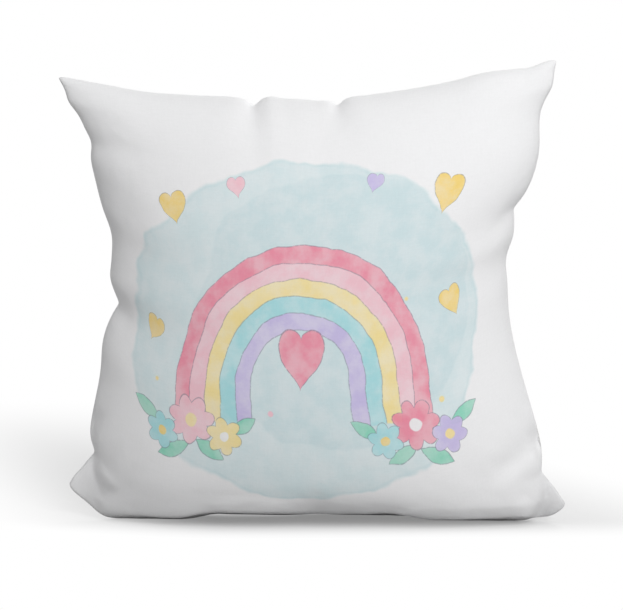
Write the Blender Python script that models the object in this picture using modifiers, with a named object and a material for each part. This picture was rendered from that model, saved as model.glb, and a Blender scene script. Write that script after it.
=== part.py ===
"""Square throw cushion: zipped cover over a fibre-filled insert, standing on its lower edge.

Metres, +Z up. The printed front faces -Y, the zip is low on the back.
The cushion is drawn upright in its own seam plane, leaned back about X and set on the floor.
"""

import math

import bmesh
import bpy
import numpy as np
from mathutils import Matrix, Vector

# Outline of the edge seam, tip to tip
BOTTOM_WIDTH = 0.446
BOTTOM_SHIFT = 0.0030
TOP_WIDTH = 0.443
TOP_SHIFT = -0.0065
TOP_HEIGHT = 0.404
TOP_SKEW = 0.0070
EAR_LIFT = 0.0245
EAR_SKEW = 0.0045
LEFT_WAIST = 0.043
RIGHT_WAIST = 0.048
WAIST_RUN = 0.185
TOP_WAIST = 0.025
TOP_RUN = 0.200
BOTTOM_SAG = 0.050
SAG_RUN = 0.095
EAR_DEPTH = 0.015
EAR_RUN = 0.050

# Puckers drawn into the edge seam
PUCKER_DEPTH = 0.007
PUCKER_WIDTH = 0.012
TOP_PUCKER_WIDTH = 0.008
PUCKER_REACH = 0.030
TOP_PUCKERS = (0.389, 0.556)
LEFT_PUCKERS = (0.087, 0.452)
RIGHT_PUCKERS = (0.092, 0.657)

# Swells and hollows along the side edges: share of the edge, how far out, share it spreads over
LEFT_SWELLS = (
    (0.945, 0.0042, 0.030),
    (0.845, -0.0040, 0.030),
    (0.620, -0.0040, 0.050),
    (0.360, 0.0038, 0.060),
)
RIGHT_SWELLS = (
    (0.950, 0.0045, 0.040),
    (0.770, 0.0115, 0.150),
)

# Crown of each side above the seam plane
FRONT_CROWN = 0.072
BACK_CROWN = 0.075
SIDE_POWER = 2.3
TOP_POWER = 2.2
SLUMP_POWER = 3.4
EDGE_POWER = 0.60
LEAN = 5.0
FLOOR_ROUNDING = 0.006

# Fabric layers
COVER_THICKNESS = 0.0008
CASE_THICKNESS = 0.0005
LAYER_GAP = 0.0004
INSERT_SLACK = 0.0045
SEAM_GAP = 0.0003
THREAD_DIAMETER = 0.0007
THREAD_GAP = 0.0003
INSERT_REACH = 0.90
INSERT_RIM = 0.02
INSERT_ROUNDING = 0.25

# Zip across the lower back
ZIP_HEIGHT = 0.072
ZIP_LENGTH = 0.250
SLIDER_LENGTH = 0.0100
SLIDER_WIDTH = 0.0080
SLIDER_NECK = 0.0062
PLATE_THICKNESS = 0.0010
POST_WIDTH = 0.0016
POST_LENGTH = 0.0036
BRIDGE_LENGTH = 0.0064
BRIDGE_WIDTH = 0.0020
BRIDGE_BAR = 0.0009
PULL_LENGTH = 0.0240
PULL_WIDTH = 0.0060
PULL_THICKNESS = 0.0012
PULL_BAR = 0.0013
TOOTH_PITCH = 0.0040
TOOTH_OVERLAP = 0.0009
TEETH_THICKNESS = 0.0020
TEETH_HALF_WIDTH = 0.0024
TEETH_SPINE = 0.0009
TAPE_THICKNESS = 0.0005
TAPE_WIDTH = 0.0120
TAPE_END = 0.0180
STOP_LENGTH = 0.0030
BARTACK_LENGTH = 0.0012
BARTACK_END = 0.0090
SLOT_END = 0.0140
SLOT_TAPER = 0.0050
STITCH_MARGIN = 0.0030
HEM_COVER = 0.0015
HEM_MARGIN = 0.0010
BAND_HEIGHT = 0.0450
BAND_END = 0.0120
BAND_RUNOUT = 0.0340
SLOPE_STEP = 0.0120
VALLEY_FULL = 0.0200
VALLEY_GONE = 0.0500
PLATE_TAPER = 0.0030
PLATE_CORNER = 0.0012
PLATE_NOSE = 0.0016
BRIDGE_SLANT = 0.0010
STOP_EDGE = 0.0003
FLOOR_CLEAR = 0.0001
RUN_GAP = 0.0003
SLOT_GAP = 0.0007
TAPE_GAP = 0.0005
CLOSED_SLOT = 0.0004

# Mesh density
PANEL_COLUMNS = 22
UPPER_ROWS = 16
LOWER_ROWS = 10
INSERT_GRID = 14
EDGE_CROWDING = 0.4

# Values that follow from the sizes above
LEAN_ANGLE = math.radians(LEAN)
THREAD_RADIUS = THREAD_DIAMETER / 2.0
EDGE_STANDOFF = COVER_THICKNESS + SEAM_GAP / 2.0
CASE_STANDOFF = CASE_THICKNESS + SEAM_GAP / 2.0
CASE_INSET = COVER_THICKNESS + INSERT_SLACK
CASE_FLOOR = COVER_THICKNESS + LAYER_GAP
FILLING_INSET = CASE_INSET + CASE_THICKNESS + LAYER_GAP
CASE_REACH = INSERT_REACH + INSERT_RIM
FILLING_REACH = INSERT_REACH + INSERT_RIM / 2.0
FILLING_FLOOR = CASE_FLOOR + CASE_THICKNESS + LAYER_GAP
CHAIN_LEVEL = -(COVER_THICKNESS + TAPE_GAP + TAPE_THICKNESS / 2.0)
PLATE_CLEAR = TEETH_THICKNESS / 2.0 + RUN_GAP
SLIDER_TOP = CHAIN_LEVEL + PLATE_CLEAR + PLATE_THICKNESS
SLIDER_UNDER = CHAIN_LEVEL - PLATE_CLEAR - PLATE_THICKNESS
ZIP_VALLEY = max(2.0 * LAYER_GAP - SLIDER_UNDER - CASE_INSET, 0.0)
SLOT_HALF = SLIDER_WIDTH / 2.0 + SLOT_GAP
BAR_SWEEP = math.hypot(PULL_BAR, PULL_THICKNESS) / 2.0 + RUN_GAP
BAR_LEVEL = SLIDER_TOP + BAR_SWEEP
BRIDGE_CLEAR = 2.0 * BAR_SWEEP
SLIDER_REST = -ZIP_LENGTH / 2.0 + RUN_GAP + SLIDER_LENGTH / 2.0
TEETH_START = SLIDER_REST - SLIDER_LENGTH / 2.0 + POST_LENGTH + 2.0 * RUN_GAP
TAPE_EDGE = TEETH_HALF_WIDTH + RUN_GAP
HEM_HEIGHT = TAPE_WIDTH + HEM_COVER

TIPS = {
    "bottom_left": np.array([BOTTOM_SHIFT - BOTTOM_WIDTH / 2.0, EAR_LIFT + EAR_SKEW]),
    "bottom_right": np.array([BOTTOM_SHIFT + BOTTOM_WIDTH / 2.0, EAR_LIFT - EAR_SKEW]),
    "top_left": np.array([TOP_SHIFT - TOP_WIDTH / 2.0, TOP_HEIGHT - TOP_SKEW]),
    "top_right": np.array([TOP_SHIFT + TOP_WIDTH / 2.0, TOP_HEIGHT + TOP_SKEW]),
}


def from_tips(share, run):
    """None at both tips of an edge, rising to one at the distance run from the nearer tip."""
    return np.clip(np.minimum(share, 1.0 - share) / run, 0.0, 1.0)


def edge_line(start, end, share, pull, waist, run, ear, ear_run, swells=()):
    """Points along one edge of the outline: a quick rise at the ears, a slow waist, then its swells."""
    length = float(np.linalg.norm(TIPS[end] - TIPS[start]))
    line = TIPS[start] + share[..., None] * (TIPS[end] - TIPS[start])
    quick = from_tips(share, min(ear_run / length, 0.5))
    slow = from_tips(share, min(run / length, 0.5))
    move = ear * (1.0 - (1.0 - quick) ** 2) + (waist - ear) * slow * slow * (3.0 - 2.0 * slow)
    for place, size, spread in swells:
        swell = size * np.exp(-((share - place) / spread) ** 2)
        move = move - swell * from_tips(share, EAR_RUN / length / 2.0)
    return line + move[..., None] * np.array(pull)


def puckers(along, away, places, length, width):
    """Sum of the short dents that the edge seam draws into one edge."""
    total = np.zeros_like(along)
    for place in places:
        across = (along - place) * length / width
        total = total + PUCKER_DEPTH * np.exp(-across ** 2) * np.exp(-away * length / PUCKER_REACH)
    return total


def seam_plane(u, v):
    """Position in the seam plane, across and up, of the panel point u, v in -1..1."""
    s = (np.asarray(u, float) + 1.0) / 2.0
    t = (np.asarray(v, float) + 1.0) / 2.0
    s, t = np.broadcast_arrays(s, t)
    down = (0.0, -1.0)
    inward = (1.0, 0.0)
    back = (-1.0, 0.0)
    ear = (WAIST_RUN, EAR_DEPTH, EAR_RUN)
    bottom = edge_line("bottom_left", "bottom_right", s, down, BOTTOM_SAG, SAG_RUN, BOTTOM_SAG, SAG_RUN)
    top = edge_line("top_left", "top_right", s, down, TOP_WAIST, TOP_RUN, TOP_WAIST / 2.0, TOP_RUN)
    left = edge_line("bottom_left", "top_left", t, inward, LEFT_WAIST, *ear, LEFT_SWELLS)
    right = edge_line("bottom_right", "top_right", t, back, RIGHT_WAIST, *ear, RIGHT_SWELLS)
    s1 = s[..., None]
    t1 = t[..., None]
    corners = (
        (1.0 - s1) * (1.0 - t1) * TIPS["bottom_left"]
        + s1 * (1.0 - t1) * TIPS["bottom_right"]
        + (1.0 - s1) * t1 * TIPS["top_left"]
        + s1 * t1 * TIPS["top_right"]
    )
    place = (1.0 - t1) * bottom + t1 * top + (1.0 - s1) * left + s1 * right - corners
    x = place[..., 0] + puckers(t, s, LEFT_PUCKERS, TOP_HEIGHT, PUCKER_WIDTH)
    x = x - puckers(t, 1.0 - s, RIGHT_PUCKERS, TOP_HEIGHT, PUCKER_WIDTH)
    z = place[..., 1] - puckers(s, 1.0 - t, TOP_PUCKERS, TOP_WIDTH, TOP_PUCKER_WIDTH)
    return x, z


def crown(u, v):
    """Share of the full crown at u, v: round above, slumped and fuller below."""
    u, v = np.broadcast_arrays(np.asarray(u, float), np.asarray(v, float))
    power = np.where(v < 0.0, SLUMP_POWER, TOP_POWER)
    across = np.clip(1.0 - np.abs(u) ** SIDE_POWER, 0.0, 1.0) ** EDGE_POWER
    upward = np.clip(1.0 - np.abs(v) ** power, 0.0, 1.0) ** EDGE_POWER
    return across * upward


def height_to_v(u, height):
    """Panel coordinate v at which each column u reaches a height in the seam plane."""
    low = np.full_like(u, -1.0)
    high = np.full_like(u, 1.0)
    for _ in range(40):
        middle = (low + high) / 2.0
        below = seam_plane(u, middle)[1] < height
        low = np.where(below, middle, low)
        high = np.where(below, high, middle)
    return (low + high) / 2.0


def back_profile(height):
    """Across positions and depths of the plain back crown at one height."""
    u = np.linspace(-0.995, 0.995, 201)
    v = height_to_v(u, np.full_like(u, height))
    return seam_plane(u, v)[0], EDGE_STANDOFF + BACK_CROWN * crown(u, v)


def fit_zip_arc():
    """Arc that the zip follows: radius, centre depth and slope of the back at its height."""
    half = ZIP_LENGTH / 2.0
    x, y = back_profile(ZIP_HEIGHT)
    middle = float(np.interp(0.0, x, y))
    ends = (float(np.interp(-half, x, y)) + float(np.interp(half, x, y))) / 2.0
    drop = middle - ends
    radius = (half ** 2 + drop ** 2) / (2.0 * drop)
    above = float(np.interp(0.0, *back_profile(ZIP_HEIGHT + SLOPE_STEP)))
    below = float(np.interp(0.0, *back_profile(ZIP_HEIGHT - SLOPE_STEP)))
    return radius, middle - radius, math.atan2(above - below, 2.0 * SLOPE_STEP)


ZIP_RADIUS, ZIP_CENTRE, ZIP_SLOPE = fit_zip_arc()


def fade(distance, full, gone):
    """One up to the distance full, falling smoothly to none at the distance gone."""
    share = np.clip((gone - np.abs(distance)) / (gone - full), 0.0, 1.0)
    return share * share * (3.0 - 2.0 * share)


def half_surface(u, v, side):
    """Outer surface of the cover before leaning; side is -1 for the front and 1 for the back."""
    x, z = seam_plane(u, v)
    if side < 0:
        y = -EDGE_STANDOFF - FRONT_CROWN * crown(u, v)
        return np.stack([x, y, z], axis=-1)
    y = EDGE_STANDOFF + BACK_CROWN * crown(u, v)
    reach = ZIP_RADIUS + (z - ZIP_HEIGHT) * math.tan(ZIP_SLOPE)
    band = ZIP_CENTRE + np.sqrt(np.maximum(reach ** 2 - x ** 2, 0.0))
    end = ZIP_LENGTH / 2.0 + TAPE_END
    weight = fade(z - ZIP_HEIGHT, HEM_HEIGHT + HEM_MARGIN, BAND_HEIGHT)
    weight = weight * fade(x, end + BAND_END, end + BAND_RUNOUT)
    weight = weight * fade(u, 0.88, 0.97)
    return np.stack([x, y + weight * (band - y), z], axis=-1)


def surface_normal(u, v, side):
    """Outward unit normal of the cover surface."""
    step = 0.01
    across = half_surface(u + step, v, side) - half_surface(u - step, v, side)
    upward = half_surface(u, v + step, side) - half_surface(u, v - step, side)
    normal = np.cross(across, upward) * -side
    return normal / np.linalg.norm(normal, axis=-1, keepdims=True)


def leaned(points):
    """Turn points of the upright cushion back about X."""
    points = np.asarray(points, float)
    c = math.cos(LEAN_ANGLE)
    s = math.sin(LEAN_ANGLE)
    x = points[..., 0]
    y = points[..., 1] * c + points[..., 2] * s
    z = points[..., 2] * c - points[..., 1] * s
    return np.stack([x, y, z], axis=-1)


def spaced(share):
    """Panel coordinate with the grid lines drawn closer to the seam."""
    return (1.0 - EDGE_CROWDING) * share + EDGE_CROWDING * np.sin(share * math.pi / 2.0)


def find_origin():
    """Middle of the standing cushion, which becomes the origin of the part."""
    line = spaced(np.linspace(-1.0, 1.0, 49))
    u, v = np.meshgrid(line, line)
    cloud = np.concatenate([leaned(half_surface(u, v, side)).reshape(-1, 3) for side in (-1, 1)])
    low = cloud.min(axis=0)
    high = cloud.max(axis=0)
    return np.array([(low[0] + high[0]) / 2.0, (low[1] + high[1]) / 2.0, 0.0])


ORIGIN = find_origin()


def standing(points, floor):
    """Lean points back, centre them and flatten what hangs below the floor, with a soft edge."""
    placed = leaned(points) - ORIGIN
    above = placed[..., 2] - floor
    soft = np.clip(above + FLOOR_ROUNDING, 0.0, 2.0 * FLOOR_ROUNDING) ** 2 / (4.0 * FLOOR_ROUNDING)
    placed[..., 2] = floor + np.where(above > FLOOR_ROUNDING, above, soft)
    return placed


def clear_scene():
    for item in list(bpy.data.objects):
        bpy.data.objects.remove(item, do_unlink=True)


def make_collection(name):
    group = bpy.data.collections.new(name)
    bpy.context.scene.collection.children.link(group)
    return group


def make_material(name, colour, roughness, metallic=0.0):
    material = bpy.data.materials.new(name)
    material.use_nodes = True
    shader = material.node_tree.nodes["Principled BSDF"]
    shader.inputs["Base Color"].default_value = (*colour, 1.0)
    shader.inputs["Roughness"].default_value = roughness
    shader.inputs["Metallic"].default_value = metallic
    material.diffuse_color = (*colour, 1.0)
    return material


def add_object(name, data, group, material):
    item = bpy.data.objects.new(name, data)
    group.objects.link(item)
    data.materials.append(material)
    return item


def grid_mesh(columns, rows):
    """Flat grid over -1..1 with its vertices as two coordinate arrays."""
    sheet = bmesh.new()
    bmesh.ops.create_grid(sheet, x_segments=columns, y_segments=rows, size=1.0)
    a = np.array([vertex.co.x for vertex in sheet.verts])
    b = np.array([vertex.co.y for vertex in sheet.verts])
    return sheet, a, b


def set_positions(sheet, points):
    for vertex, point in zip(sheet.verts, points):
        vertex.co = point


def finish_mesh(sheet, name, group, material):
    mesh = bpy.data.meshes.new(name)
    sheet.normal_update()
    sheet.to_mesh(mesh)
    sheet.free()
    return add_object(name, mesh, group, material)


def solidify(item, thickness, offset):
    shell = item.modifiers.new("thickness", "SOLIDIFY")
    shell.thickness = thickness
    shell.offset = offset
    shell.use_even_offset = False
    return shell


def make_panel(name, columns, rows, place, side, group, material):
    """Panel of the cover: a grid laid on the surface and given its fabric thickness."""
    sheet, a, b = grid_mesh(columns, rows)
    u, v = place(a, b)
    set_positions(sheet, standing(half_surface(u, v, side), 0.0))
    if side > 0:
        bmesh.ops.reverse_faces(sheet, faces=sheet.faces[:])
    item = finish_mesh(sheet, name, group, material)
    solidify(item, COVER_THICKNESS, -1.0)
    return item


def slot_half_height(x):
    """Half height of the opening between the two back panels, along the seam plane."""
    opening = SLOT_HALF * math.cos(ZIP_SLOPE)
    inside = np.abs(x) <= ZIP_LENGTH / 2.0 + SLOT_END
    return np.where(inside, opening, CLOSED_SLOT / 2.0)


def back_columns(a):
    """Column coordinates of the back, with two columns set where the slot closes at each end."""
    u = spaced(a)
    line = np.linspace(-1.0, 1.0, 401)
    x = seam_plane(line, height_to_v(line, np.full_like(line, ZIP_HEIGHT)))[0]
    grid = spaced(np.linspace(-1.0, 1.0, PANEL_COLUMNS + 1))
    for sign in (-1.0, 1.0):
        end = sign * (ZIP_LENGTH / 2.0 + SLOT_END)
        opened = float(np.interp(end - sign * 0.0001, x, line))
        closed = float(np.interp(end + sign * SLOT_TAPER, x, line))
        nearest = int(np.argmin(np.abs(grid - opened)))
        following = nearest + int(sign)
        u = np.where(np.abs(spaced(a) - grid[nearest]) < 1e-6, opened, u)
        u = np.where(np.abs(spaced(a) - grid[following]) < 1e-6, closed, u)
    return u


def split_v(u, sign):
    """Panel coordinate of the edge of the slot, above or below the zip."""
    middle = height_to_v(u, np.full_like(u, ZIP_HEIGHT))
    x = seam_plane(u, middle)[0]
    return height_to_v(u, ZIP_HEIGHT + sign * slot_half_height(x))


def back_place(sign, rows):
    """Grid of a back panel: slot edge, then the hem over the tape, then rows out to the seam."""

    def place(a, b):
        u = back_columns(a)
        index = np.rint((sign * b + 1.0) / 2.0 * rows)
        hem = height_to_v(u, np.full_like(u, ZIP_HEIGHT + sign * HEM_HEIGHT))
        share = np.clip((index - 1.0) / (rows - 1.0), 0.0, 1.0)
        share = (1.0 - EDGE_CROWDING) * share + EDGE_CROWDING * np.sin(share * math.pi / 2.0)
        return u, np.where(index < 0.5, split_v(u, sign), hem + (sign - hem) * share)

    return place


def front_place(a, b):
    """Grid of the front panel, with its rows meeting the rows of the back at the seam."""
    u = back_columns(a)
    index = np.rint((b + 1.0) / 2.0 * (LOWER_ROWS + UPPER_ROWS))
    low = back_place(-1.0, LOWER_ROWS)(a, 2.0 * index / LOWER_ROWS - 1.0)[1]
    high = back_place(1.0, UPPER_ROWS)(a, 2.0 * (index - LOWER_ROWS) / UPPER_ROWS - 1.0)[1]
    middle = height_to_v(u, np.full_like(u, ZIP_HEIGHT))
    v = np.where(index < LOWER_ROWS, low, np.where(index > LOWER_ROWS, high, middle))
    return u, v


def grid_loop(columns, rows):
    """Grid coordinates once round the edge of a panel, from the lower left corner."""
    across = np.linspace(-1.0, 1.0, columns + 1)[:-1]
    upward = np.linspace(-1.0, 1.0, rows + 1)[:-1]
    a = np.concatenate([across, np.ones(rows), -across, -np.ones(rows)])
    b = np.concatenate([-np.ones(columns), upward, np.ones(columns), -upward])
    return a, b


def seam_loop(u, v, standoff, floor):
    """Closed path just outside an edge seam, in the seam plane."""
    x, z = seam_plane(u, v)
    path = np.stack([x, z], axis=-1)
    along = np.roll(path, -1, axis=0) - np.roll(path, 1, axis=0)
    along = along / np.linalg.norm(along, axis=1, keepdims=True)
    out = np.stack([along[:, 1], -along[:, 0]], axis=-1)
    path = path + standoff * out
    points = np.stack([path[:, 0], np.zeros(len(path)), path[:, 1]], axis=-1)
    return standing(points, floor)


def make_thread(name, points, radius, cyclic, group, material):
    curve = bpy.data.curves.new(name, "CURVE")
    curve.dimensions = "3D"
    curve.bevel_depth = radius
    curve.bevel_resolution = 1
    curve.use_fill_caps = not cyclic
    spline = curve.splines.new("POLY")
    spline.points.add(len(points) - 1)
    for slot, point in zip(spline.points, points):
        slot.co = (*point, 1.0)
    spline.use_cyclic_u = cyclic
    return add_object(name, curve, group, material)


def insert_place(a, b, reach):
    """Panel coordinates of the insert, smaller than the cover and rounded at its corners."""
    u = reach * a * np.sqrt(1.0 - INSERT_ROUNDING * b ** 2)
    v = reach * b * np.sqrt(1.0 - INSERT_ROUNDING * a ** 2)
    return u, v


def insert_surface(u, v, side, inset):
    """Surface of the insert: the cover set in by its layers, with room behind the zip."""
    points = half_surface(u, v, side)
    depth = np.full(u.shape, inset)
    if side > 0:
        valley = fade(points[..., 2] - ZIP_HEIGHT, VALLEY_FULL, VALLEY_GONE)
        valley = valley * fade(points[..., 0], ZIP_LENGTH / 2.0 + TAPE_END, BOTTOM_WIDTH / 2.0)
        depth = depth + ZIP_VALLEY * valley
    return points - depth[..., None] * surface_normal(u, v, side)


def insert_half(side, inset, floor, standoff, rim_reach):
    """One side of the insert, from its crown out to its own edge seam."""
    sheet, a, b = grid_mesh(INSERT_GRID, INSERT_GRID)
    u, v = insert_place(spaced(a), spaced(b), INSERT_REACH)
    set_positions(sheet, standing(insert_surface(u, v, side, inset), floor))
    rim = [edge for edge in sheet.edges if edge.is_boundary]
    coordinates = {vertex.index: (a[vertex.index], b[vertex.index]) for vertex in sheet.verts}
    pairs = {}
    for edge in rim:
        for vertex in edge.verts:
            pairs[tuple(round(value, 9) for value in vertex.co)] = coordinates[vertex.index]
    ring = bmesh.ops.extrude_edge_only(sheet, edges=rim)["geom"]
    for vertex in [part for part in ring if isinstance(part, bmesh.types.BMVert)]:
        share = np.array(pairs[tuple(round(value, 9) for value in vertex.co)])
        seam_u, seam_v = insert_place(spaced(share[:1]), spaced(share[1:]), rim_reach)
        x, z = seam_plane(seam_u, seam_v)
        vertex.co = standing(np.array([x[0], side * standoff, z[0]]), floor)
    if side > 0:
        bmesh.ops.reverse_faces(sheet, faces=sheet.faces[:])
    return sheet


def make_case(name, side, group, material):
    sheet = insert_half(side, CASE_INSET, CASE_FLOOR, CASE_STANDOFF, CASE_REACH)
    item = finish_mesh(sheet, name, group, material)
    solidify(item, CASE_THICKNESS, -1.0)
    return item


def make_filling(name, group, material):
    whole = insert_half(-1, FILLING_INSET, FILLING_FLOOR, 0.0, FILLING_REACH)
    half = bpy.data.meshes.new("filling_back")
    back = insert_half(1, FILLING_INSET, FILLING_FLOOR, 0.0, FILLING_REACH)
    back.to_mesh(half)
    back.free()
    whole.from_mesh(half)
    bpy.data.meshes.remove(half)
    bmesh.ops.remove_doubles(whole, verts=whole.verts[:], dist=0.00005)
    return finish_mesh(whole, name, group, material)


def zip_frame(run):
    """Upright frame on the zip at a distance run along its arc: along, across, outward."""
    angle = run / ZIP_RADIUS
    radial = np.array([-math.sin(angle), math.cos(angle), 0.0])
    along = np.array([-math.cos(angle), -math.sin(angle), 0.0])
    up = np.array([0.0, 0.0, 1.0])
    across = math.sin(ZIP_SLOPE) * radial + math.cos(ZIP_SLOPE) * up
    outward = math.cos(ZIP_SLOPE) * radial - math.sin(ZIP_SLOPE) * up
    origin = np.array([0.0, ZIP_CENTRE, ZIP_HEIGHT]) + ZIP_RADIUS * radial
    return origin, along, across, outward


def zip_points(run, across, outward):
    """Standing positions of points given along the zip, across it and outward from it."""
    run, across, outward = np.broadcast_arrays(run, across, outward)
    points = []
    for s, c, n in zip(run.ravel(), across.ravel(), outward.ravel()):
        origin, _, e_c, e_n = zip_frame(s)
        points.append(origin + c * e_c + n * e_n)
    return standing(np.array(points), 0.0)


def zip_matrix(run, outward):
    """Placement of a rigid piece on the zip."""
    origin, along, across, normal = zip_frame(run)
    place = standing(origin + outward * normal, 0.0)
    turn = np.stack([leaned(along), leaned(across), leaned(normal)], axis=1)
    return Matrix.Translation(Vector(place)) @ Matrix(turn.tolist()).to_4x4()


def make_tape(name, sign, group, material):
    half = ZIP_LENGTH / 2.0 + TAPE_END
    sheet, a, b = grid_mesh(40, 2)
    across = TAPE_EDGE + (TAPE_WIDTH - TAPE_EDGE) * (b + 1.0) / 2.0
    set_positions(sheet, zip_points(a * half, sign * across, np.full_like(a, CHAIN_LEVEL)))
    item = finish_mesh(sheet, name, group, material)
    solidify(item, TAPE_THICKNESS, 0.0)
    return item


def make_teeth(name, sign, group, material):
    """One row of teeth: a strip whose inner edge is cut into teeth that mesh with the other row."""
    first = TEETH_START + (TOOTH_PITCH / 2.0 if sign < 0 else 0.0)
    count = int((ZIP_LENGTH / 2.0 - TEETH_START) / TOOTH_PITCH) - 1
    tooth = TOOTH_PITCH / 2.0 - RUN_GAP
    sheet, a, b = grid_mesh(2 * count - 1, 2)
    column = np.rint((a + 1.0) / 2.0 * (2 * count - 1)).astype(int)
    row = np.rint(b + 1.0).astype(int)
    run = first + (column // 2) * TOOTH_PITCH + (column % 2) * tooth
    across = np.choose(row, [-TOOTH_OVERLAP, TEETH_HALF_WIDTH - TEETH_SPINE, TEETH_HALF_WIDTH])
    index = {vertex: number for number, vertex in enumerate(sheet.verts)}
    spare = []
    for face in sheet.faces:
        columns = [column[index[vertex]] for vertex in face.verts]
        rows = [row[index[vertex]] for vertex in face.verts]
        if min(columns) % 2 == 1 and min(rows) == 0:
            spare.append(face)
    set_positions(sheet, zip_points(run, sign * across, np.full_like(a, CHAIN_LEVEL)))
    bmesh.ops.delete(sheet, geom=spare, context="FACES")
    item = finish_mesh(sheet, name, group, material)
    solidify(item, TEETH_THICKNESS, 0.0)
    return item


def make_block(name, size, group, material):
    block = bmesh.new()
    bmesh.ops.create_cube(block, size=1.0)
    bmesh.ops.scale(block, vec=Vector(size), verts=block.verts[:])
    return finish_mesh(block, name, group, material)


def make_stop(name, run, across, width, group, material):
    item = make_block(name, (STOP_LENGTH, width, TEETH_THICKNESS), group, material)
    item.matrix_world = zip_matrix(run, CHAIN_LEVEL) @ Matrix.Translation((0.0, across, 0.0))
    edge = item.modifiers.new("edge", "BEVEL")
    edge.width = STOP_EDGE
    edge.segments = 1
    return item


def flat_outline(name, outlines, thickness):
    """Flat piece from closed outlines in its own plane, inner ones cut as holes."""
    curve = bpy.data.curves.new(name, "CURVE")
    curve.dimensions = "2D"
    curve.fill_mode = "BOTH"
    curve.extrude = thickness / 2.0
    for outline in outlines:
        spline = curve.splines.new("POLY")
        spline.points.add(len(outline) - 1)
        for slot, (x, y) in zip(spline.points, outline):
            slot.co = (x, y, 0.0, 1.0)
        spline.use_cyclic_u = True
    item = bpy.data.objects.new(name, curve)
    bpy.context.scene.collection.objects.link(item)
    graph = bpy.context.evaluated_depsgraph_get()
    mesh = bpy.data.meshes.new_from_object(item.evaluated_get(graph))
    bpy.data.objects.remove(item, do_unlink=True)
    bpy.data.curves.remove(curve)
    solid = bmesh.new()
    solid.from_mesh(mesh)
    bpy.data.meshes.remove(mesh)
    bmesh.ops.remove_doubles(solid, verts=solid.verts[:], dist=0.000001)
    return solid


def rounded_bar(length, width, start, steps):
    """Outline of a bar with one round end, from x = start."""
    radius = width / 2.0
    end = start + length - radius
    outline = [(start, -radius)]
    for step in range(steps + 1):
        angle = -math.pi / 2.0 + math.pi * step / steps
        outline.append((end + radius * math.cos(angle), radius * math.sin(angle)))
    outline.append((start, radius))
    return outline


def make_slider(name, parent, group, cutters, material):
    """Slider: two shaped plates held apart by the post, with the bridge for the pull on top."""
    half = SLIDER_LENGTH / 2.0
    wide = SLIDER_WIDTH / 2.0
    neck = SLIDER_NECK / 2.0
    plate = [
        (half, -neck),
        (half, neck),
        (0.0, neck),
        (-half + PLATE_TAPER, wide),
        (-half + PLATE_CORNER, wide),
        (-half, wide - PLATE_NOSE),
        (-half, PLATE_NOSE - wide),
        (-half + PLATE_CORNER, -wide),
        (-half + PLATE_TAPER, -wide),
        (0.0, -neck),
    ]
    upper = flat_outline("slider_plate", [plate], PLATE_THICKNESS)
    middle = PLATE_CLEAR + PLATE_THICKNESS / 2.0
    bmesh.ops.translate(upper, vec=(0.0, 0.0, middle), verts=upper.verts[:])
    item = finish_mesh(upper, name, group, material)
    lower = flat_outline("slider_plate", [plate], PLATE_THICKNESS)
    bmesh.ops.translate(lower, vec=(0.0, 0.0, -middle), verts=lower.verts[:])
    helper_material = make_material("helper", (0.5, 0.5, 0.5), 0.5)
    pieces = [finish_mesh(lower, "slider_lower_plate", cutters, helper_material)]
    post_size = (POST_LENGTH, POST_WIDTH, 2.0 * PLATE_CLEAR + PLATE_THICKNESS)
    post = make_block("slider_post", post_size, cutters, helper_material)
    post.location = (-half + POST_LENGTH / 2.0, 0.0, 0.0)
    pieces.append(post)
    outer = BRIDGE_LENGTH / 2.0
    inner = outer - BRIDGE_BAR
    base = PLATE_CLEAR + PLATE_THICKNESS / 2.0
    under = PLATE_CLEAR + PLATE_THICKNESS + BRIDGE_CLEAR
    top = under + BRIDGE_BAR
    slant = BRIDGE_SLANT
    arch = [
        (-outer, base),
        (-inner, base),
        (-inner, under - slant),
        (-inner + slant, under),
        (inner - slant, under),
        (inner, under - slant),
        (inner, base),
        (outer, base),
        (outer, top - slant),
        (outer - slant, top),
        (slant - outer, top),
        (-outer, top - slant),
    ]
    bridge = flat_outline("slider_bridge", [arch], BRIDGE_WIDTH)
    upright = Matrix.Rotation(math.pi / 2.0, 3, "X")
    bmesh.ops.rotate(bridge, cent=(0.0, 0.0, 0.0), matrix=upright, verts=bridge.verts[:])
    pieces.append(finish_mesh(bridge, "slider_bridge", cutters, helper_material))
    for helper in pieces:
        helper.hide_render = True
        helper.display_type = "WIRE"
        helper.parent = item
        joined = item.modifiers.new(helper.name, "BOOLEAN")
        joined.operation = "UNION"
        joined.solver = "EXACT"
        joined.object = helper
    item.parent = parent
    item.matrix_parent_inverse = parent.matrix_world.inverted()
    item.matrix_world = zip_matrix(SLIDER_REST, CHAIN_LEVEL)
    return item


def make_pull(name, parent, group, material):
    """Pull tab with an eye round the bridge; its origin is on the bar it swings on."""
    eye_half = BRIDGE_WIDTH / 2.0 + RUN_GAP
    eye_end = BRIDGE_LENGTH / 2.0 + RUN_GAP
    start = -PULL_BAR / 2.0
    outline = rounded_bar(PULL_LENGTH, PULL_WIDTH, start, 10)
    eye_start = PULL_BAR / 2.0
    eye = [(eye_start, -eye_half), (eye_end, -eye_half), (eye_end, eye_half), (eye_start, eye_half)]
    grip = rounded_bar(PULL_LENGTH * 0.45, PULL_WIDTH * 0.45, PULL_LENGTH * 0.42, 6)
    item = finish_mesh(flat_outline(name, [outline, eye, grip], PULL_THICKNESS), name, group, material)
    item.parent = parent
    item.matrix_parent_inverse = parent.matrix_world.inverted()
    item.matrix_world = zip_matrix(SLIDER_REST, BAR_LEVEL)
    return item


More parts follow.
